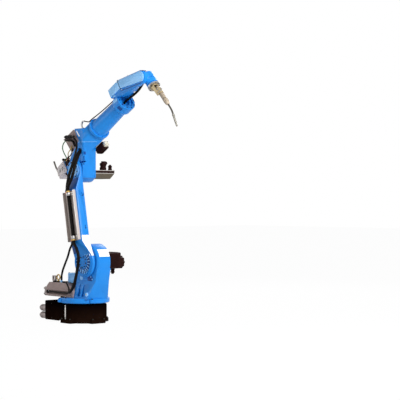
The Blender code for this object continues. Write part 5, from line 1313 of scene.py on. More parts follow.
@dataclass
class LowerArm(Assembly):
    """The lower arm casting, its hubs, its blank label and its arrow."""

    length: float = 0.760
    front: float = 0.086
    hub_face: float = -0.124
    upper_cap_radius: float = 0.079
    lower_cap_radius: float = 0.054

    def build(self) -> None:
        """Build the lower arm's pieces."""
        rig = self.rig
        rig.skin("lower_arm_casting", ENAMEL_BLUE)
        edges = Axis.Z.between(0.034, 0.210) + Axis.Y.between(-0.170, -0.098) + [((0.06, 0.0, 0.0), REAR)]
        rig.film("lower_arm_casting", "arm_label", WHITE_VINYL, (1.0, 0.0, 0.2), edges, "shoulder",
                 match=0.72)
        arrow = [(-0.125, 0.258), (-0.116, 0.273), (-0.1215, 0.273), (-0.1215, 0.292), (-0.1285, 0.292),
                 (-0.1285, 0.273), (-0.134, 0.273)]
        rig.add("arm_arrow", "lower_arm", DEEP_BLUE_AND_PAINTED_SHADE, [
            Shape.plate("arrow", arrow, Axis.X, self.front, self.front + 0.0006)], "shoulder")
        self.hubs()
        lower = Axis.Z.between(0.080, 0.176) + [((-0.035, 0.0, 0.0), FRONT)]
        for name, cuts in (("arm_upper_shadow", Axis.Z.between(0.596, 0.690)), ("arm_lower_shadow", lower)):
            rig.film("lower_arm_casting", name, DEEP_BLUE_AND_PAINTED_SHADE, RIGHT, cuts, "shoulder", match=0.85)
        rig.add("lower_arm_eye_ring", "lower_arm", DEEP_BLUE_AND_PAINTED_SHADE, [
            Shape.ring("eye", (0.0060, 0.0125), (-0.002, 0.0025), Axis.X, 24, (self.front, -0.119, 0.546))],
            "shoulder")

    def hubs(self) -> None:
        """Build the dished hub caps, the ribs that fan round the lower one, a ring of painted shade, and
        their screws.
        """
        rig, kit = self.rig, self.kit
        lower = facing((0.0, self.hub_face, 0.0), RIGHT)
        # The upper cap, the rim band and the fan ribs are pale as painted highlight on the hubs.
        fan = kit.teeth(lower, 20, 0.0800, (0.038, 0.0055, 0.009), PALE_ENAMEL_AND_PAINTED_HIGHLIGHT)
        rig.add("lower_arm_hub_caps_painted_highlight", "lower_arm", PALE_ENAMEL_AND_PAINTED_HIGHLIGHT, [
            self.disc(self.upper_cap_radius, self.length), self.band(0.1035, 0.1095, 0.0050), fan],
            "shoulder")
        rig.add("lower_hub_cap", "lower_arm", ENAMEL_BLUE, [self.disc(self.lower_cap_radius, 0.0)],
                "shoulder")
        # A dark ring on the lower hub's face is painted shade.
        rig.add("lower_hub_painted_shade", "lower_arm", DEEP_BLUE_AND_PAINTED_SHADE, [self.band(0.0535, 0.1040, 0.0012)], "shoulder")
        rim = Matrix.Translation((0.0, 0.0, 0.0045))
        upper = Matrix.Translation((0.0, 0.0, self.length)) @ lower
        rig.add("lower_arm_hub_screws", "lower_arm", BLACK_OXIDE, [
            kit.arc(lower @ rim, 8, 0.0430, LOWER_HUB_SCREW, 22.5),
            kit.arc(upper @ rim, 10, 0.0680, UPPER_HUB_SCREW)], "shoulder")

    def disc(self, radius: float, height: float) -> Mesh:
        """Return one dished cap on a hub's outer face, at a height along the arm."""
        face = self.hub_face
        profile = [(0.0, face + SUNK), (radius, face + SUNK), (radius, face - 0.003),
                   (radius - 0.002, face - 0.005),
                   (radius - 0.020, face - 0.005), (radius - 0.024, face - 0.002),
                   (radius * 0.35, face - 0.002),
                   (radius * 0.30, face - 0.005), (0.0, face - 0.005)]
        return Shape.turned("hub_cap", profile, Axis.Y, 48, (0.0, 0.0, height))

    def band(self, inner: float, outer: float, rise: float) -> Mesh:
        """Return one flat ring on the lower hub's outer face."""
        return Shape.ring("hub_band", (inner, outer), (self.hub_face + SUNK, self.hub_face - rise), Axis.Y,
                          64)


@dataclass
class CableTray(Assembly):
    """The channel on the lower arm, its conduit and its clamps."""

    low: float = 0.178
    high: float = 0.588
    floor: float = -0.1793
    lip: float = -0.2032
    conduit_y: float = -0.1951
    conduit_radius: float = 0.0155
    conduit_pitch: float = 0.0026
    conduit_swell_share: float = 0.09

    def build(self) -> None:
        """Build the tray's pieces."""
        rig, link = self.rig, "shoulder"
        rig.skin("cable_tray", POWDER_GREY)
        rig.skin("lower_tray_clamp", TURNED_STEEL, 0.0005)
        rig.skin("upper_tray_clamp", TURNED_STEEL, 0.0005)
        route = [Vector((0.0, self.conduit_y, height)) for height in (self.low, self.high)]
        hose = self.kit.hose(route, self.conduit_radius, JACKET_BLACK, self.conduit_pitch,
                             self.conduit_swell_share)
        rig.add("tray_hose", "lower_arm", JACKET_BLACK, [hose], link, ("tray_conduit",))
        feet = [(x, -0.1858, z) for x in (-0.031, 0.031) for z in (0.204, 0.562)]
        self.screws("clamp_screws", "lower_arm", CLAMP_SCREW, [(feet, RIGHT)], link)
        floor = [(x, self.floor, z) for x in (-0.057, 0.057) for z in (0.240, 0.383, 0.526)]
        self.screws("tray_screws", "lower_arm", TRAY_SCREW, [(floor, RIGHT)], link)
        rig.add("conduit_nuts", "lower_arm", BRASS, [
            Shape.ring("nut", (0.0160, 0.0190), (0.0, 0.011), Axis.Z, 6, (0.0, self.conduit_y, height))
            for height in (0.1790, 0.5785)], link)
        rig.add("conduit_ties", "lower_arm", NYLON_BLACK, [
            Shape.ring("tie", (0.0150, 0.0166), (0.0, 0.005), Axis.Z, 32, (0.0, self.conduit_y, height))
            for height in (0.285, 0.383, 0.481)], link)
        rig.add("lead_nuts", "lower_arm", COPPER, [
            Shape.ring("nut", (0.0090, 0.0118), (0.0, 0.012), Axis.Z, 6, (-0.030, -0.188, height))
            for height in (0.1800, 0.5740)], link)
        rig.add("tray_lip_caps", "lower_arm", ALUMINIUM, [
            Shape.block("lip", (x - 0.0020, self.lip, self.low + 0.002),
                        (x + 0.0020, self.lip + 0.0027, self.high - 0.002), 0.0006)
            for x in (-0.0705, 0.0705)], link)


@dataclass
class Elbow(Assembly):
    """The elbow casting, its motors, its bracket and the conduit hook."""

    front: float = 0.092
    bracket_side: float = -0.0520
    plug_foot: Point = (0.031, 0.1664, 1.2603)
    small_plug_foot: Point = (0.031, 0.2395, 1.2603)

    def build(self) -> None:
        """Build the elbow's pieces."""
        self.rig.skin("elbow_casting", ENAMEL_BLUE)
        self.rig.skin("elbow_bracket", HAMMER_GREY, 0.0008)
        self.rig.skin("bracket_plug", NYLON_BLACK)
        self.rig.skin("conduit_hook", TURNED_STEEL, 0.0008)
        self.films()
        face = [(self.front, y, z) for y in (-0.070, 0.034) for z in (1.205, 1.428)]
        self.screws("elbow_face_screws", "elbow", FACE_SCREW, [(face, FRONT)])
        self.bracket()
        self.motor_skins()
        self.elbow_motor()
        self.roll_motor()

    def films(self) -> None:
        """Lay painted highlight on the seam, painted shade in the two recesses and a white strip on the rear
        edge.
        """
        film = self.rig.film
        # A thin pale strip along the seam is painted highlight.
        film("elbow_casting", "elbow_seam_painted_highlight", PALE_ENAMEL_AND_PAINTED_HIGHLIGHT, (0.75, -0.66, 0.0), Axis.Z.between(1.4855, 1.4890),
             match=0.5)
        # Dark films in the two recesses of the front are painted shade.
        for name, rise, side in (("elbow_upper_painted_shade", (1.384, 1.408), (-0.086, -0.056)),
                                 ("elbow_lower_painted_shade", (1.300, 1.372), (-0.086, -0.070))):
            film("elbow_casting", name, DEEP_BLUE_AND_PAINTED_SHADE, FRONT, Axis.Z.between(*rise) + Axis.Y.between(*side),
                 match=0.95)
        # A thin white strip along the rear edge.
        edge = [((0.041, 0.0, 1.529), (0.67, 0.0, -0.74)), ((0.000, 0.0, 1.575), (-0.67, 0.0, 0.74)),
                ((0.0295, 0.0, 1.563), (0.74, 0.0, 0.67)), ((0.0195, 0.0, 1.554), (-0.74, 0.0, -0.67))]
        film("elbow_casting", "elbow_rear_edge", WHITE_VINYL, RIGHT, edge, match=0.95)

    def bracket(self) -> None:
        """Build the bracket's fittings, its lead and the grip of its plug."""
        seats = [(x, self.bracket_side, z) for x, z in ((-0.165, 1.500), (-0.100, 1.550), (-0.100, 1.455))]
        self.screws("bracket_fittings", "elbow", BRACKET_SCREW, [(seats, RIGHT)])
        self.tube("bracket_lead", "elbow", JACKET_BLACK, [
            (-0.190, -0.060, 1.512), (-0.150, -0.064, 1.507), (-0.108, -0.065, 1.506),
            (-0.074, -0.064, 1.492),
            (-0.052, -0.062, 1.456)], 0.009, 0.005)
        self.rig.add("bracket_plug_grip", "elbow", NYLON_BLACK, [
            self.kit.teeth(facing((-0.160, -0.0663, 1.5365), FRONT), 18, 0.0138, (0.0020, 0.0026, 0.016),
                           NYLON_BLACK)])

    def motor_skins(self) -> None:
        """Finish the two motors and the elbow motor's plugs."""
        self.rig.skin("elbow_motor", OLIVE_PAINT, 0.0012)
        self.rig.skin("elbow_power_plug", MOTOR_PAINT)
        self.rig.skin("elbow_signal_plug", MOTOR_PAINT)
        self.rig.skin("roll_motor", MOTOR_PAINT, 0.0012)
        self.rig.skin("roll_motor_cap", CREAM_PLASTIC, 0.0012)

    def elbow_motor(self) -> None:
        """Dress the elbow motor with its band, rails, screws, ribs and plug grips."""
        rig, kit = self.rig, self.kit
        rig.film("elbow_motor", "elbow_motor_band", MOTOR_PAINT, FRONT, Axis.Z.between(1.2345, 1.2555),
                 match=0.95)
        rig.add("elbow_motor_rails", "elbow", ALUMINIUM, [
            Shape.block("rail", (0.0626, 0.056, height), (0.0652, 0.2635, height + 0.0042), 0.0007)
            for height in (1.2545, 1.2310)])
        top = [(x, y, 1.2600) for x in (-0.044, 0.054) for y in (0.066, 0.256)]
        end = [(x, 0.2653, 1.243) for x in (-0.025, 0.035)]
        rig.add("elbow_motor_screws", "elbow", PLATED_STEEL, [
            kit.spots(top, UP, MOTOR_SCREW), kit.spots(end, LEFT, SIDE_SCREW)])
        rig.add("elbow_motor_ribs", "elbow", OLIVE_PAINT, [
            kit.ribs((0.004, 0.075, 1.188), 8, (0.0, 0.0135, 0.0), (0.040, 0.0032, 0.006), OLIVE_PAINT)])
        rig.add("elbow_plug_grips", "elbow", MOTOR_PAINT, [
            kit.knurl(self.plug_foot, UP, 0.028, 0.074, MOTOR_PAINT),
            kit.knurl(self.small_plug_foot, UP, 0.017, 0.046, MOTOR_PAINT)])
        sleeve = Shape.turned("sleeve", [(0.0, -0.010), (0.020, -0.010), (0.020, 0.012), (0.0170, 0.016),
                                         (0.0170, 0.036), (0.0140, 0.040), (0.0, 0.040)], Axis.Z, 28)
        sleeve.transform(facing((0.031, 0.1720, 1.2960), (0.0, 0.62, 0.78)))
        rig.add("elbow_plug_sleeve", "elbow", MOTOR_PAINT, [sleeve])

    def roll_motor(self) -> None:
        """Dress the roll motor with its ribs and its cap's screws."""
        rig, kit = self.rig, self.kit
        step = (0.0105, 0.0, 0.0)
        rig.add("roll_motor_ribs", "elbow", MOTOR_PAINT, [
            kit.ribs((0.166, 0.086, 0.0762), 8, step, (0.0030, 0.050, 0.005), MOTOR_PAINT),
            kit.ribs((0.166, 0.1160, 0.106), 8, step, (0.0030, 0.005, 0.050), MOTOR_PAINT)], "elbow")
        cap = [(0.2720, 0.086 + y, 0.106 + z) for y in (-0.014, 0.014) for z in (-0.014, 0.014)]
        self.screws("roll_cap_screws", "elbow", CAP_PIN, [(cap, FRONT)], "elbow")


@dataclass
class WireFeeder(Assembly):
    """The wire feeder behind the elbow, with the hoses that run from it to the bracket."""

    door_middle: Point = (-0.236, -0.042, 0.150)
    tilt: float = math.radians(4.0)
    door_half: tuple[float, float] = (0.050, 0.040)
    screw_height: float = 0.030
    roller_radius: float = 0.017
    valve_top: float = 0.186

    def build(self) -> None:
        """Build the feeder's pieces."""
        rig = self.rig
        rig.skin("wire_feeder", POWDER_PALE, 0.0010)
        rig.skin("feeder_drive", MOTOR_PAINT)
        rig.skin("wire_inlet", OLIVE_PAINT)
        rig.film("wire_feeder", "feeder_panel", PALE_ENAMEL_AND_PAINTED_HIGHLIGHT, (0.83, 0.0, 0.56), [], match=0.97, lift=0.0006)
        self.door()
        self.knobs()
        self.valve()
        self.hoses()

    def door(self) -> None:
        """Build the feeder's door with its hinge, its two rollers and its screws."""
        turn = Matrix.Translation(self.door_middle) @ Matrix.Rotation(self.tilt, 4, "Y")
        wide, tall = self.door_half
        door = Shape.block("door", (-wide, -0.0030, -tall), (wide, 0.0005, tall), 0.0014)
        hinge = Shape.rod("hinge", 0.0032, (-0.030, 0.030), Axis.Z, 12, (-0.0525, -0.0025, 0.0))
        radius = self.roller_radius
        profile = [(0.0, -0.003), (radius, -0.003), (radius, -0.009), (radius - 0.003, -0.011),
                   (radius * 0.4, -0.011), (radius * 0.4, -0.014), (0.0, -0.014)]
        rollers = [Shape.turned("roller", profile, Axis.Y, 28, (x, 0.0, 0.004)) for x in (-0.020, 0.018)]
        seats = [(x, -0.0030, z) for x in (0.042, -0.044) for z in (self.screw_height, -self.screw_height)]
        screws = self.kit.spots(seats, RIGHT, DOOR_SCREW)
        for name, finish, meshes in (("feeder_door", POWDER_PALE, [door]),
                                     ("feeder_hinges", PLATED_STEEL, [hinge]),
                                     ("feeder_rollers", TURNED_STEEL, rollers),
                                     ("feeder_screws", BLACK_OXIDE, [screws])):
            for mesh in meshes:
                mesh.transform(turn)
            self.rig.add(name, "elbow", finish, meshes, "elbow")

    def knobs(self) -> None:
        """Build the two pressure knobs on the feeder's top."""
        knobs = []
        for x, y in ((-0.262, -0.026), (-0.286, 0.012)):
            knob = Shape.turned("knob", [(0.0, -0.004), (0.0045, -0.004), (0.0045, 0.010), (0.0100, 0.012),
                                         (0.0110, 0.026), (0.0085, 0.030), (0.0, 0.030)], Axis.Z, 20)
            knob.transform(facing((x, y, 1.330), (-0.25, 0.0, 0.97)))
            knobs.append(knob)
        self.rig.add("feeder_knobs", "elbow", NYLON_BLACK, knobs)

    def valve(self) -> None:
        """Build the gas valve by the feeder."""
        rig, top = self.rig, self.valve_top
        rig.add("gas_valve", "elbow", MOTOR_PAINT, [
            Shape.block("body", (-0.1745, -0.030, 0.150), (-0.128, 0.010, top + 0.002), 0.002),
            Shape.turned("coil", [(0.0, top), (0.012, top), (0.012, 0.206), (0.010, 0.208), (0.0, 0.208)],
                         Axis.Z,
                         20, (-0.160, -0.010, 0.0))], "elbow")
        rig.add("gas_valve_plug", "elbow", PLUG_RED, [
            Shape.turned("plug", [(0.0, top), (0.008, top), (0.008, 0.199), (0.006, 0.202), (0.006, 0.212),
                                  (0.0, 0.212)], Axis.Z, 16, (-0.136, -0.018, 0.0))], "elbow")
        rig.add("valve_nuts", "elbow", BRASS, [
            Shape.rod("nut", 0.0075, (top, 0.195), Axis.Z, 6, (-0.148, y, 0.0)) for y in (-0.024, 0.004)],
            "elbow")

    def hoses(self) -> None:
        """Run the three thin hoses from the feeder to the bracket."""
        self.tube("green_gas_hose", "elbow", HOSE_GREEN, [
            (-0.215, -0.024, 1.349), (-0.221, -0.030, 1.372), (-0.246, -0.036, 1.410),
            (-0.256, -0.042, 1.445),
            (-0.236, -0.050, 1.478), (-0.197, -0.056, 1.503), (-0.170, -0.057, 1.508)], 0.0045, 0.005)
        self.tube("yellow_air_hose", "elbow", HOSE_YELLOW, [
            (-0.208, 0.004, 1.349), (-0.204, -0.018, 1.374), (-0.176, -0.042, 1.398), (-0.140, -0.056, 1.418),
            (-0.112, -0.058, 1.440), (-0.104, -0.057, 1.462)], 0.0038, 0.005)
        self.tube("valve_lead", "elbow", JACKET_BLACK, [
            (-0.200, -0.020, 1.352), (-0.178, -0.040, 1.372), (-0.140, -0.058, 1.372),
            (-0.110, -0.062, 1.385),
            (-0.092, -0.060, 1.412), (-0.090, -0.056, 1.440)], 0.0050, 0.005)


@dataclass
class Forearm(Assembly):
    """The forearm tube, the front arm and its covers."""

    flange_face: float = 0.3475
    nose_end: float = 0.760
    cover_face: float = -0.0913
    cover_sheet: float = 0.0035
    seam_x: float = 0.8315
    slope_middle: Point = (0.885, 0.0024, 0.0)
    slope_way: Point = (0.9003, -0.4354, 0.0)

    def build(self) -> None:
        """Build the forearm's pieces."""
        rig, kit = self.rig, self.kit
        rig.skin("forearm_tube", ENAMEL_BLUE)
        rig.skin("front_arm_casting", ENAMEL_BLUE)
        rig.skin("rear_side_cover", PALE_ENAMEL_AND_PAINTED_HIGHLIGHT, 0.0010)
        rig.skin("front_side_cover", PALE_ENAMEL_AND_PAINTED_HIGHLIGHT, 0.0010)
        rig.add("forearm_flange_screws", "forearm", ENAMEL_BLUE, [
            kit.arc(facing((self.flange_face, 0.0, 0.0), FRONT), 12, 0.083, TUBE_SCREW)], "roll")
        self.nose()
        self.covers()
        self.far_side()
        lug = [(1.110, 0.0390), (1.122, 0.0360), (1.140, 0.0180), (1.145, 0.0210), (1.128, 0.0360),
               (1.116, 0.0420)]
        rig.add("tip_lugs", "forearm", DEEP_BLUE_AND_PAINTED_SHADE, [
            Shape.plate("lug", lug, Axis.Y, y, y + 0.006, 0.0006) for y in (-0.083, -0.064)], "roll")

    def nose(self) -> None:
        """Build the screws, the painted highlight, the painted shade and the boss on the hollow flange."""
        rig = self.rig
        face = facing((self.nose_end, 0.0, 0.0), FRONT)
        rig.add("nose_screws", "forearm", BLACK_OXIDE, [self.kit.arc(face, 10, 0.0705, NOSE_SCREW, 18.0)],
                "roll")
        # A pale film on the nose's upper side is painted highlight.
        highlight_cuts = Axis.X.between(0.692, 0.745) + [((0.0, -0.030, 0.0), LEFT)] + Axis.Z.between(0.004, 0.056)
        rig.film("front_arm_casting", "nose_painted_highlight", PALE_ENAMEL_AND_PAINTED_HIGHLIGHT, (0.0, -0.90, 0.43), highlight_cuts, "roll", match=0.7)
        # A dark film on the nose's lower side is painted shade.
        rig.film("front_arm_casting", "nose_painted_shade", DEEP_BLUE_AND_PAINTED_SHADE, (0.0, -0.80, -0.60),
                 Axis.X.between(0.704, 0.736),
                 "roll", match=0.97)
        rig.add("nose_boss", "forearm", DEEP_BLUE_AND_PAINTED_SHADE, [
            Shape.turned("boss", [(0.0, -SUNK), (0.0090, -SUNK), (0.0090, 0.003), (0.0070, 0.004),
                                  (0.0, 0.004)],
                         Axis.X, 24, (self.nose_end, -0.0565, -0.042))], "roll")

    def covers(self) -> None:
        """Build the seam between the side covers, a strip of painted shadow under them and their screws."""
        rig, face = self.rig, self.cover_face
        rig.add("cover_gasket", "forearm", NYLON_BLACK, [
            Shape.block("seam", (self.seam_x - 0.0026, face - 0.0005, 0.056),
                        (self.seam_x + 0.0026, face + 0.014, 0.1400), 0.0004)], "roll")
        # A dark strip under the covers' lower edge is painted shadow.
        line = [(0.834, 0.0415), (1.072, -0.0440), (1.072, -0.0490), (0.834, 0.0360)]
        rig.add("box_lip_painted_shadow", "forearm", DEEP_BLUE_AND_PAINTED_SHADE, [
            Shape.plate("line", line, Axis.Y, face + 0.0045, face + 0.0065)], "roll")
        seats = [(x, face, z) for x, z in ((0.706, 0.124), (0.820, 0.124), (0.820, 0.064), (0.845, 0.124),
                                           (0.965, 0.098), (1.105, 0.030), (0.848, 0.040), (1.090, -0.034))]
        self.screws("cover_screws", "forearm", COVER_SCREW, [(seats, RIGHT)], "roll")

    def far_side(self) -> None:
        """Build the screwed cover on the arm's sloping far side."""
        along = Vector(self.slope_way)
        slope = self.rig.axes(Vector(self.slope_middle), along, Vector((-along.y, along.x, 0.0)), Vector(UP))
        outline = [(-0.085, 0.118), (-0.085, 0.040), (0.080, -0.016), (0.080, 0.078)]
        cover = Shape.plate("far", outline, Axis.Y, -SUNK, self.cover_sheet, 0.0010)
        seats = [(x, self.cover_sheet, z) for x, z in ((-0.076, 0.108), (-0.076, 0.050), (0.071, -0.004),
                                                       (0.071, 0.072))]
        screws = self.kit.spots(seats, LEFT, COVER_SCREW)
        for mesh in (cover, screws):
            mesh.transform(slope)
        self.rig.add("far_side_cover", "forearm", PALE_ENAMEL_AND_PAINTED_HIGHLIGHT, [cover], "roll")
        self.rig.add("far_cover_screws", "forearm", PLATED_STEEL, [screws], "roll")


@dataclass
class Wrist(Assembly):
    """The hollow wrist and the tool flange."""

    flange_face: float = 0.1023
    screw_circle: float = 0.0440

    def build(self) -> None:
        """Build the wrist's pieces."""
        rig = self.rig
        rig.skin("wrist_casting", ENAMEL_BLUE)
        rig.skin("tool_flange", TURNED_STEEL)
        # Two thin dark bands round the wrist's barrel are painted shade.
        rig.add("wrist_painted_shade_bands", "wrist", DEEP_BLUE_AND_PAINTED_SHADE, [
            Shape.ring("shade_band", (0.0464, 0.0476), (x, x + 0.0030), Axis.X, 56) for x in (0.030, 0.076)],
            "tool")
        boot = [(0.0100, 0.1000), (0.0330, 0.1000), (0.0330, 0.1060), (0.0280, 0.1085), (0.0140, 0.1085),
                (0.0100, 0.1060)]
        rig.add("flange_boot", "tool", NYLON_BLACK, [Shape.turned("boot", boot, Axis.X, 40, ring=True)],
                "tool")
        face = facing((self.flange_face, 0.0, 0.0), FRONT)
        rig.add("tool_flange_screws", "tool", BLACK_OXIDE, [
            self.kit.arc(face, 8, self.screw_circle, TOOL_SCREW, 22.5)], "tool")


@dataclass
class Torch(Assembly):
    """The welding torch, its bracket and its clamp."""

    rise: float = 0.022
    crown: float = 0.0205
    jaw_turn: float = 28.0
    jaw_sheet: float = 0.007
    mouth: Point = (1.1806, 0.0, 1.5742)
    mouth_way: Point = (0.4147, 0.0, -0.9100)
    tip_depth: float = 0.010

    def build(self) -> None:
        """Build the torch's pieces."""
        rig = self.rig
        rig.skin("torch_bracket", TORCH_BRONZE, 0.0006)
        rig.skin("torch_grip", HANDLE_TAN)
        rig.skin("torch_nozzle", NICKEL)
        self.tube("torch_neck_sleeve", "tool", NECK_DARK, [
            (1.079, 0.0, 1.7485), (1.096, 0.0, 1.729), (1.113, 0.0, 1.710), (1.127, 0.0, 1.689),
            (1.139, 0.0, 1.666)], 0.0072, 0.003, 0.05, replaces=("torch_neck",))
        rig.add("torch_jaws", "tool", TURNED_STEEL, [
            self.jaw(0.158, self.jaw_turn), self.jaw(0.186, -self.jaw_turn)], "tool")
        seats = [(x, 0.0, self.rise + self.crown) for x in (0.171, 0.180)]
        self.screws("torch_jaw_screws", "tool", TOOL_SCREW, [(seats, UP)], "tool")
        rig.add("torch_bands", "tool", NECK_DARK, [
            Shape.ring("band", (radius - 0.002, radius + 0.0012), (0.0, width), Axis.X, 28,
                       (x, 0.0, self.rise))
            for x, radius, width in ((0.208, 0.0165, 0.006), (0.232, 0.0175, 0.005), (0.262, 0.0185, 0.004))],
            "tool")
        teeth = self.kit.teeth(facing((0.286, 0.0, self.rise), FRONT), 14, 0.0190, (0.0020, 0.0030, 0.026),
                               HANDLE_TAN)
        rig.add("torch_grip_teeth", "tool", HANDLE_TAN, [teeth], "tool")
        self.tip()

    def jaw(self, spot: float, turn: float) -> Mesh:
        """Return one of the two crossed plates that grip the torch.

        Args:
            spot: its place along the tool's axis.
            turn: how far it is turned round that axis, in degrees.

        Returns:
            The mesh.
        """
        outline = [(-0.024, -0.011), (-0.016, -0.019), (0.016, -0.019), (0.024, -0.011), (0.024, 0.011),
                   (0.016, 0.019), (-0.016, 0.019), (-0.024, 0.011)]
        jaw = Shape.plate("jaw", outline, Axis.X, 0.0, self.jaw_sheet, 0.0010)
        jaw.transform(Matrix.Translation((spot, 0.0, self.rise))
                      @ Matrix.Rotation(math.radians(turn), 4, "X"))
        return jaw

    def tip(self) -> None:
        """Build the contact tip and the wire that stands out of the nozzle."""
        way = Vector(self.mouth_way)
        place = facing(Vector(self.mouth) - way * self.tip_depth, way)
        tube = Shape.turned("tip",
                            [(0.0, 0.0), (0.0028, 0.0), (0.0028, 0.0095), (0.0018, 0.0112), (0.0, 0.0112)],
                            Axis.Z, 16)
        wire = Shape.rod("wire", 0.0008, (0.010, 0.0195), Axis.Z, 10)
        for mesh in (tube, wire):
            mesh.transform(place)
        self.rig.add("contact_tip", "tool", COPPER, [tube, wire])


@dataclass(frozen=True)
class Lead:
    """A cable that crosses a joint: its route, and the CAD nodes that it stands for.

    It names the bodies on either side of the joint; the point numbered first is not used.
    """

    name: str
    link: str
    bodies: tuple[str, str]
    radius: float
    route: list[Point]
    nodes: tuple[str, ...] = ()
    first: int = 1


SHOULDER_LEADS = (
    Lead("lower_thick", "shoulder", ("lower_arm", "swivel"), 0.0125, [
        (0.0, -0.195, 0.178), (0.0, -0.195, 0.152), (0.034, -0.200, 0.105), (0.046, -0.200, 0.037),
        (0.016, -0.195, -0.033), (-0.033, -0.188, -0.108), (-0.090, -0.178, -0.173), (-0.150, -0.167, -0.210),
        (-0.190, -0.160, -0.219)], ("lower_thick_cable",)),
    Lead("lower_thin", "shoulder", ("lower_arm", "swivel"), 0.0085, [
        (-0.030, -0.188, 0.191), (-0.030, -0.188, 0.165), (-0.068, -0.193, 0.120), (-0.116, -0.190, 0.062),
        (-0.170, -0.181, 0.020), (-0.236, -0.165, -0.025), (-0.290, -0.142, -0.055), (-0.320, -0.126, -0.066),
        (-0.334, -0.118, -0.080), (-0.338, -0.118, -0.100)], ("lower_thin_cable",)))
ELBOW_LEADS = (
    Lead("upper_thick", "shoulder", ("lower_arm", "elbow"), 0.0125, [
        (0.0, -0.195, 0.588), (0.0, -0.195, 0.614), (0.043, -0.200, 0.651), (0.079, -0.200, 0.685),
        (0.104, -0.195, 0.731), (0.116, -0.172, 0.797), (0.109, -0.138, 0.855), (0.092, -0.108, 0.892),
        (0.078, -0.080, 0.908), (0.074, -0.065, 0.910), (0.074, -0.052, 0.910)], ("upper_thick_cable",)),
    Lead("upper_middle", "shoulder", ("lower_arm", "elbow"), 0.0080, [
        (-0.014, -0.194, 0.590), (-0.014, -0.194, 0.612), (0.020, -0.199, 0.664), (0.060, -0.199, 0.722),
        (0.092, -0.190, 0.780), (0.108, -0.168, 0.834), (0.104, -0.136, 0.880), (0.092, -0.106, 0.905),
        (0.084, -0.078, 0.918), (0.082, -0.060, 0.920)]),
    Lead("upper_thin", "shoulder", ("lower_arm", "elbow"), 0.0085, [
        (-0.030, -0.188, 0.575), (-0.030, -0.188, 0.601), (-0.004, -0.196, 0.648), (0.045, -0.200, 0.723),
        (0.081, -0.190, 0.783), (0.106, -0.165, 0.863), (0.104, -0.136, 0.932), (0.084, -0.117, 0.985),
        (0.055, -0.112, 1.019), (0.021, -0.104, 1.042), (-0.002, -0.080, 1.051), (-0.016, -0.066, 1.054),
        (-0.027, -0.066, 1.056)], ("upper_thin_cable",)))
FOREARM_LEADS = (
    Lead("forearm_lead", "elbow", ("elbow", "forearm"), 0.0045, [
        (0.245, -0.040, 0.332), (0.254, -0.040, 0.323), (0.275, -0.040, 0.307), (0.298, -0.040, 0.292),
        (0.331, -0.040, 0.291), (0.373, -0.040, 0.286), (0.429, -0.040, 0.279), (0.498, -0.040, 0.272),
        (0.573, -0.040, 0.267), (0.651, -0.040, 0.262), (0.672, -0.040, 0.262)], ("forearm_conduit",), 5),
    Lead("torch_lead", "roll", ("forearm", "wrist"), 0.010, [
        (0.720, 0.0, 0.0), (0.760, 0.0, 0.0), (0.812, 0.0, -0.006), (0.870, 0.0, -0.012),
        (0.913, 0.0, -0.013),
        (0.950, 0.0, -0.010), (1.010, 0.0, 0.004), (1.031, 0.0, 0.006)], ("torch_cable",), 4))


@dataclass
class DressCables(Assembly):
    """The cables that run outside the castings, most of them crossing a joint."""

    pitch: float = 0.006

    def build(self) -> None:
        """Build the cables."""
        for lead in SHOULDER_LEADS + ELBOW_LEADS + FOREARM_LEADS:
            self.bend(lead)
        self.tube("flange_lead", "tool", JACKET_BLACK, [
            (0.058, 0.0, 0.0), (0.085, 0.0, 0.0), (0.104, 0.0, 0.006), (0.118, 0.0, 0.013),
            (0.127, 0.0, 0.013)],
            0.008, 0.003, link="tool", replaces=("flange_cable",))
        self.tube("slot_lead", "swivel", JACKET_BLACK, [
            (0.005, -0.160, 0.252), (-0.022, -0.152, 0.248), (-0.060, -0.141, 0.242), (-0.110, -0.132, 0.241),
            (-0.180, -0.1285, 0.241), (-0.360, -0.1260, 0.241)], 0.0062, 0.008)

    def bend(self, lead: Lead) -> None:
        """Build one cable that crosses a joint."""
        frame = self.rig.links[lead.link]
        mesh = self.kit.hose(smooth_route(lead.route), lead.radius, JACKET_BLACK, self.pitch)
        mesh.transform(frame)
        mesh.materials.clear()
        mesh.materials.append(JACKET_BLACK.material())
        cable = bpy.data.objects.new(lead.name, mesh)
        bpy.context.scene.collection.objects.link(cable)
        bodies, nodes = lead.bodies, lead.nodes
        if nodes:
            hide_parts(*nodes)
        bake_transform(cable)
        LOG.info("%s bends between %s and %s", lead.name, *bodies)


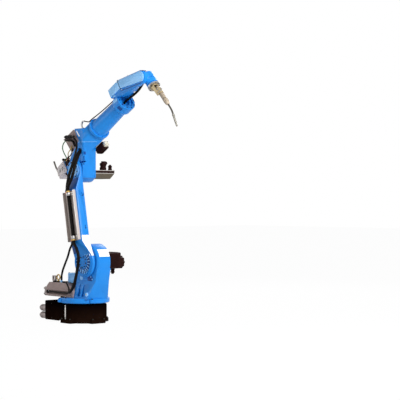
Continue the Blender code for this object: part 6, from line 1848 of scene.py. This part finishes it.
@dataclass
class Studio:
    """The camera, the lamps, the floor and the sky.

    The camera's place and lens were fitted to the robot's joints in the photograph. The
    azimuth and the yaw are in degrees, the lens is given as a share of the frame's width,
    and a lamp's numbers are its place, its width and its power in watts.
    """

    azimuth: float = 53.7255
    distance: float = 11.0139
    height: float = 1.0107
    yaw: float = -4.9811
    lens_share: float = 1323.30 / 400.0
    sensor: float = 36.0
    far_clip: float = 100.0
    floor_half: float = 30.0
    floor_glow: float = 0.97
    sky_strength: float = 0.25
    lamp_target: Point = (0.2, 0.0, 1.0)
    key_lamp: tuple[Point, float, float] = ((5.2, -0.4, 3.6), 2.6, 330.0)
    fill_lamp: tuple[Point, float, float] = ((-3.4, -5.0, 1.8), 3.0, 75.0)
    back_lamp: tuple[Point, float, float] = ((-2.0, 4.5, 3.6), 3.0, 110.0)

    def build(self) -> None:
        """Set the studio up."""
        self.camera()
        self.floor()
        self.sky()
        self.lamps()
        bpy.context.scene.view_settings.view_transform = "Standard"

    def camera(self) -> None:
        """Stand the camera where the photograph was taken from."""
        turn = math.radians(self.azimuth)
        look = math.radians(self.azimuth + self.yaw)
        eye = bpy.data.cameras.new("camera")
        eye.sensor_width = self.sensor
        eye.lens = self.sensor * self.lens_share
        eye.clip_end = self.far_clip
        stand = bpy.data.objects.new("camera", eye)
        stand.location = (math.sin(turn) * self.distance, -math.cos(turn) * self.distance, self.height)
        ahead = Vector((-math.sin(look), math.cos(look), 0.0))
        stand.rotation_euler = ahead.to_track_quat("-Z", "Y").to_euler()
        bpy.context.scene.collection.objects.link(stand)
        bpy.context.scene.camera = stand

    @staticmethod
    def shown(tree: Tree) -> Socket:
        """Return the socket that says how far a ray shows the background."""
        path = add_node(tree, "ShaderNodeLightPath").outputs
        seen = add_node(tree, "ShaderNodeMath", {"operation": "MAXIMUM"},
                        {0: path["Is Camera Ray"], 1: path["Is Glossy Ray"]})
        return add_node(tree, "ShaderNodeMath", {"operation": "MAXIMUM"},
                        {0: seen.outputs[0], 1: path["Is Transmission Ray"]}).outputs[0]

    def floor(self) -> None:
        """Lay the pale floor, which keeps the robot's shadow."""
        bm = bmesh.new()
        bmesh.ops.create_grid(bm, x_segments=1, y_segments=1, size=self.floor_half)
        mesh = bpy.data.meshes.new("studio_floor")
        bm.to_mesh(mesh)
        bm.free()
        floor = bpy.data.objects.new("studio_floor", mesh)
        bpy.context.scene.collection.objects.link(floor)
        paper = bpy.data.materials.new("matt_white_paper")
        paper.use_nodes = True
        tree = paper.node_tree
        shader = tree.nodes["Principled BSDF"]
        shader.inputs["Base Color"].default_value = linear("#F4F4F4")
        shader.inputs["Roughness"].default_value = 0.9
        glow = add_node(tree, "ShaderNodeEmission", None, {"Color": (1.0, 1.0, 1.0, 1.0), "Strength": 1.0})
        amount = add_node(tree, "ShaderNodeMath", {"operation": "MULTIPLY"},
                          {0: self.shown(tree), 1: self.floor_glow})
        mix = add_node(tree, "ShaderNodeMixShader", None,
                       {0: amount.outputs[0], 1: shader.outputs[0], 2: glow.outputs[0]})
        tree.links.new(mix.outputs[0], tree.nodes["Material Output"].inputs[0])
        mesh.materials.append(paper)

    def sky(self) -> None:
        """Give the world a soft light and a white look."""
        world = bpy.data.worlds.new("studio_world")
        world.use_nodes = True
        tree = world.node_tree
        light = tree.nodes["Background"]
        light.inputs["Color"].default_value = (0.92, 0.95, 1.0, 1.0)
        light.inputs["Strength"].default_value = self.sky_strength
        white = add_node(tree, "ShaderNodeBackground", None, {"Color": (1.0, 1.0, 1.0, 1.0), "Strength": 1.0})
        mix = add_node(tree, "ShaderNodeMixShader", None,
                       {0: self.shown(tree), 1: light.outputs[0], 2: white.outputs[0]})
        tree.links.new(mix.outputs[0], tree.nodes["World Output"].inputs[0])
        bpy.context.scene.world = world

    def lamps(self) -> None:
        """Hang three large soft lamps round the robot."""
        for name, (place, size, power) in (("key_lamp", self.key_lamp), ("fill_lamp", self.fill_lamp),
                                           ("back_lamp", self.back_lamp)):
            glow = bpy.data.lights.new(name, "AREA")
            glow.shape = "DISK"
            glow.size = size
            glow.energy = power
            lamp = bpy.data.objects.new(name, glow)
            lamp.location = place
            beam = Vector(self.lamp_target) - Vector(place)
            lamp.rotation_euler = beam.to_track_quat("-Z", "Y").to_euler()
            bpy.context.scene.collection.objects.link(lamp)


def main() -> None:
    """Load the frame, set the studio up and build each sub-assembly in order."""
    logging.basicConfig(level=logging.INFO, format="%(name)s: %(message)s")
    rig = Rig(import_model())
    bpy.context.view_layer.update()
    Studio().build()
    kit = Fasteners()
    for assembly in (Base, Swivel, RearDeck, LowerArm, CableTray, Elbow, WireFeeder, Forearm, Wrist, Torch,
                     DressCables):
        assembly(rig, kit).build()
        LOG.info("%s is dressed", assembly.__name__)


if __name__ == "__main__":
    main()
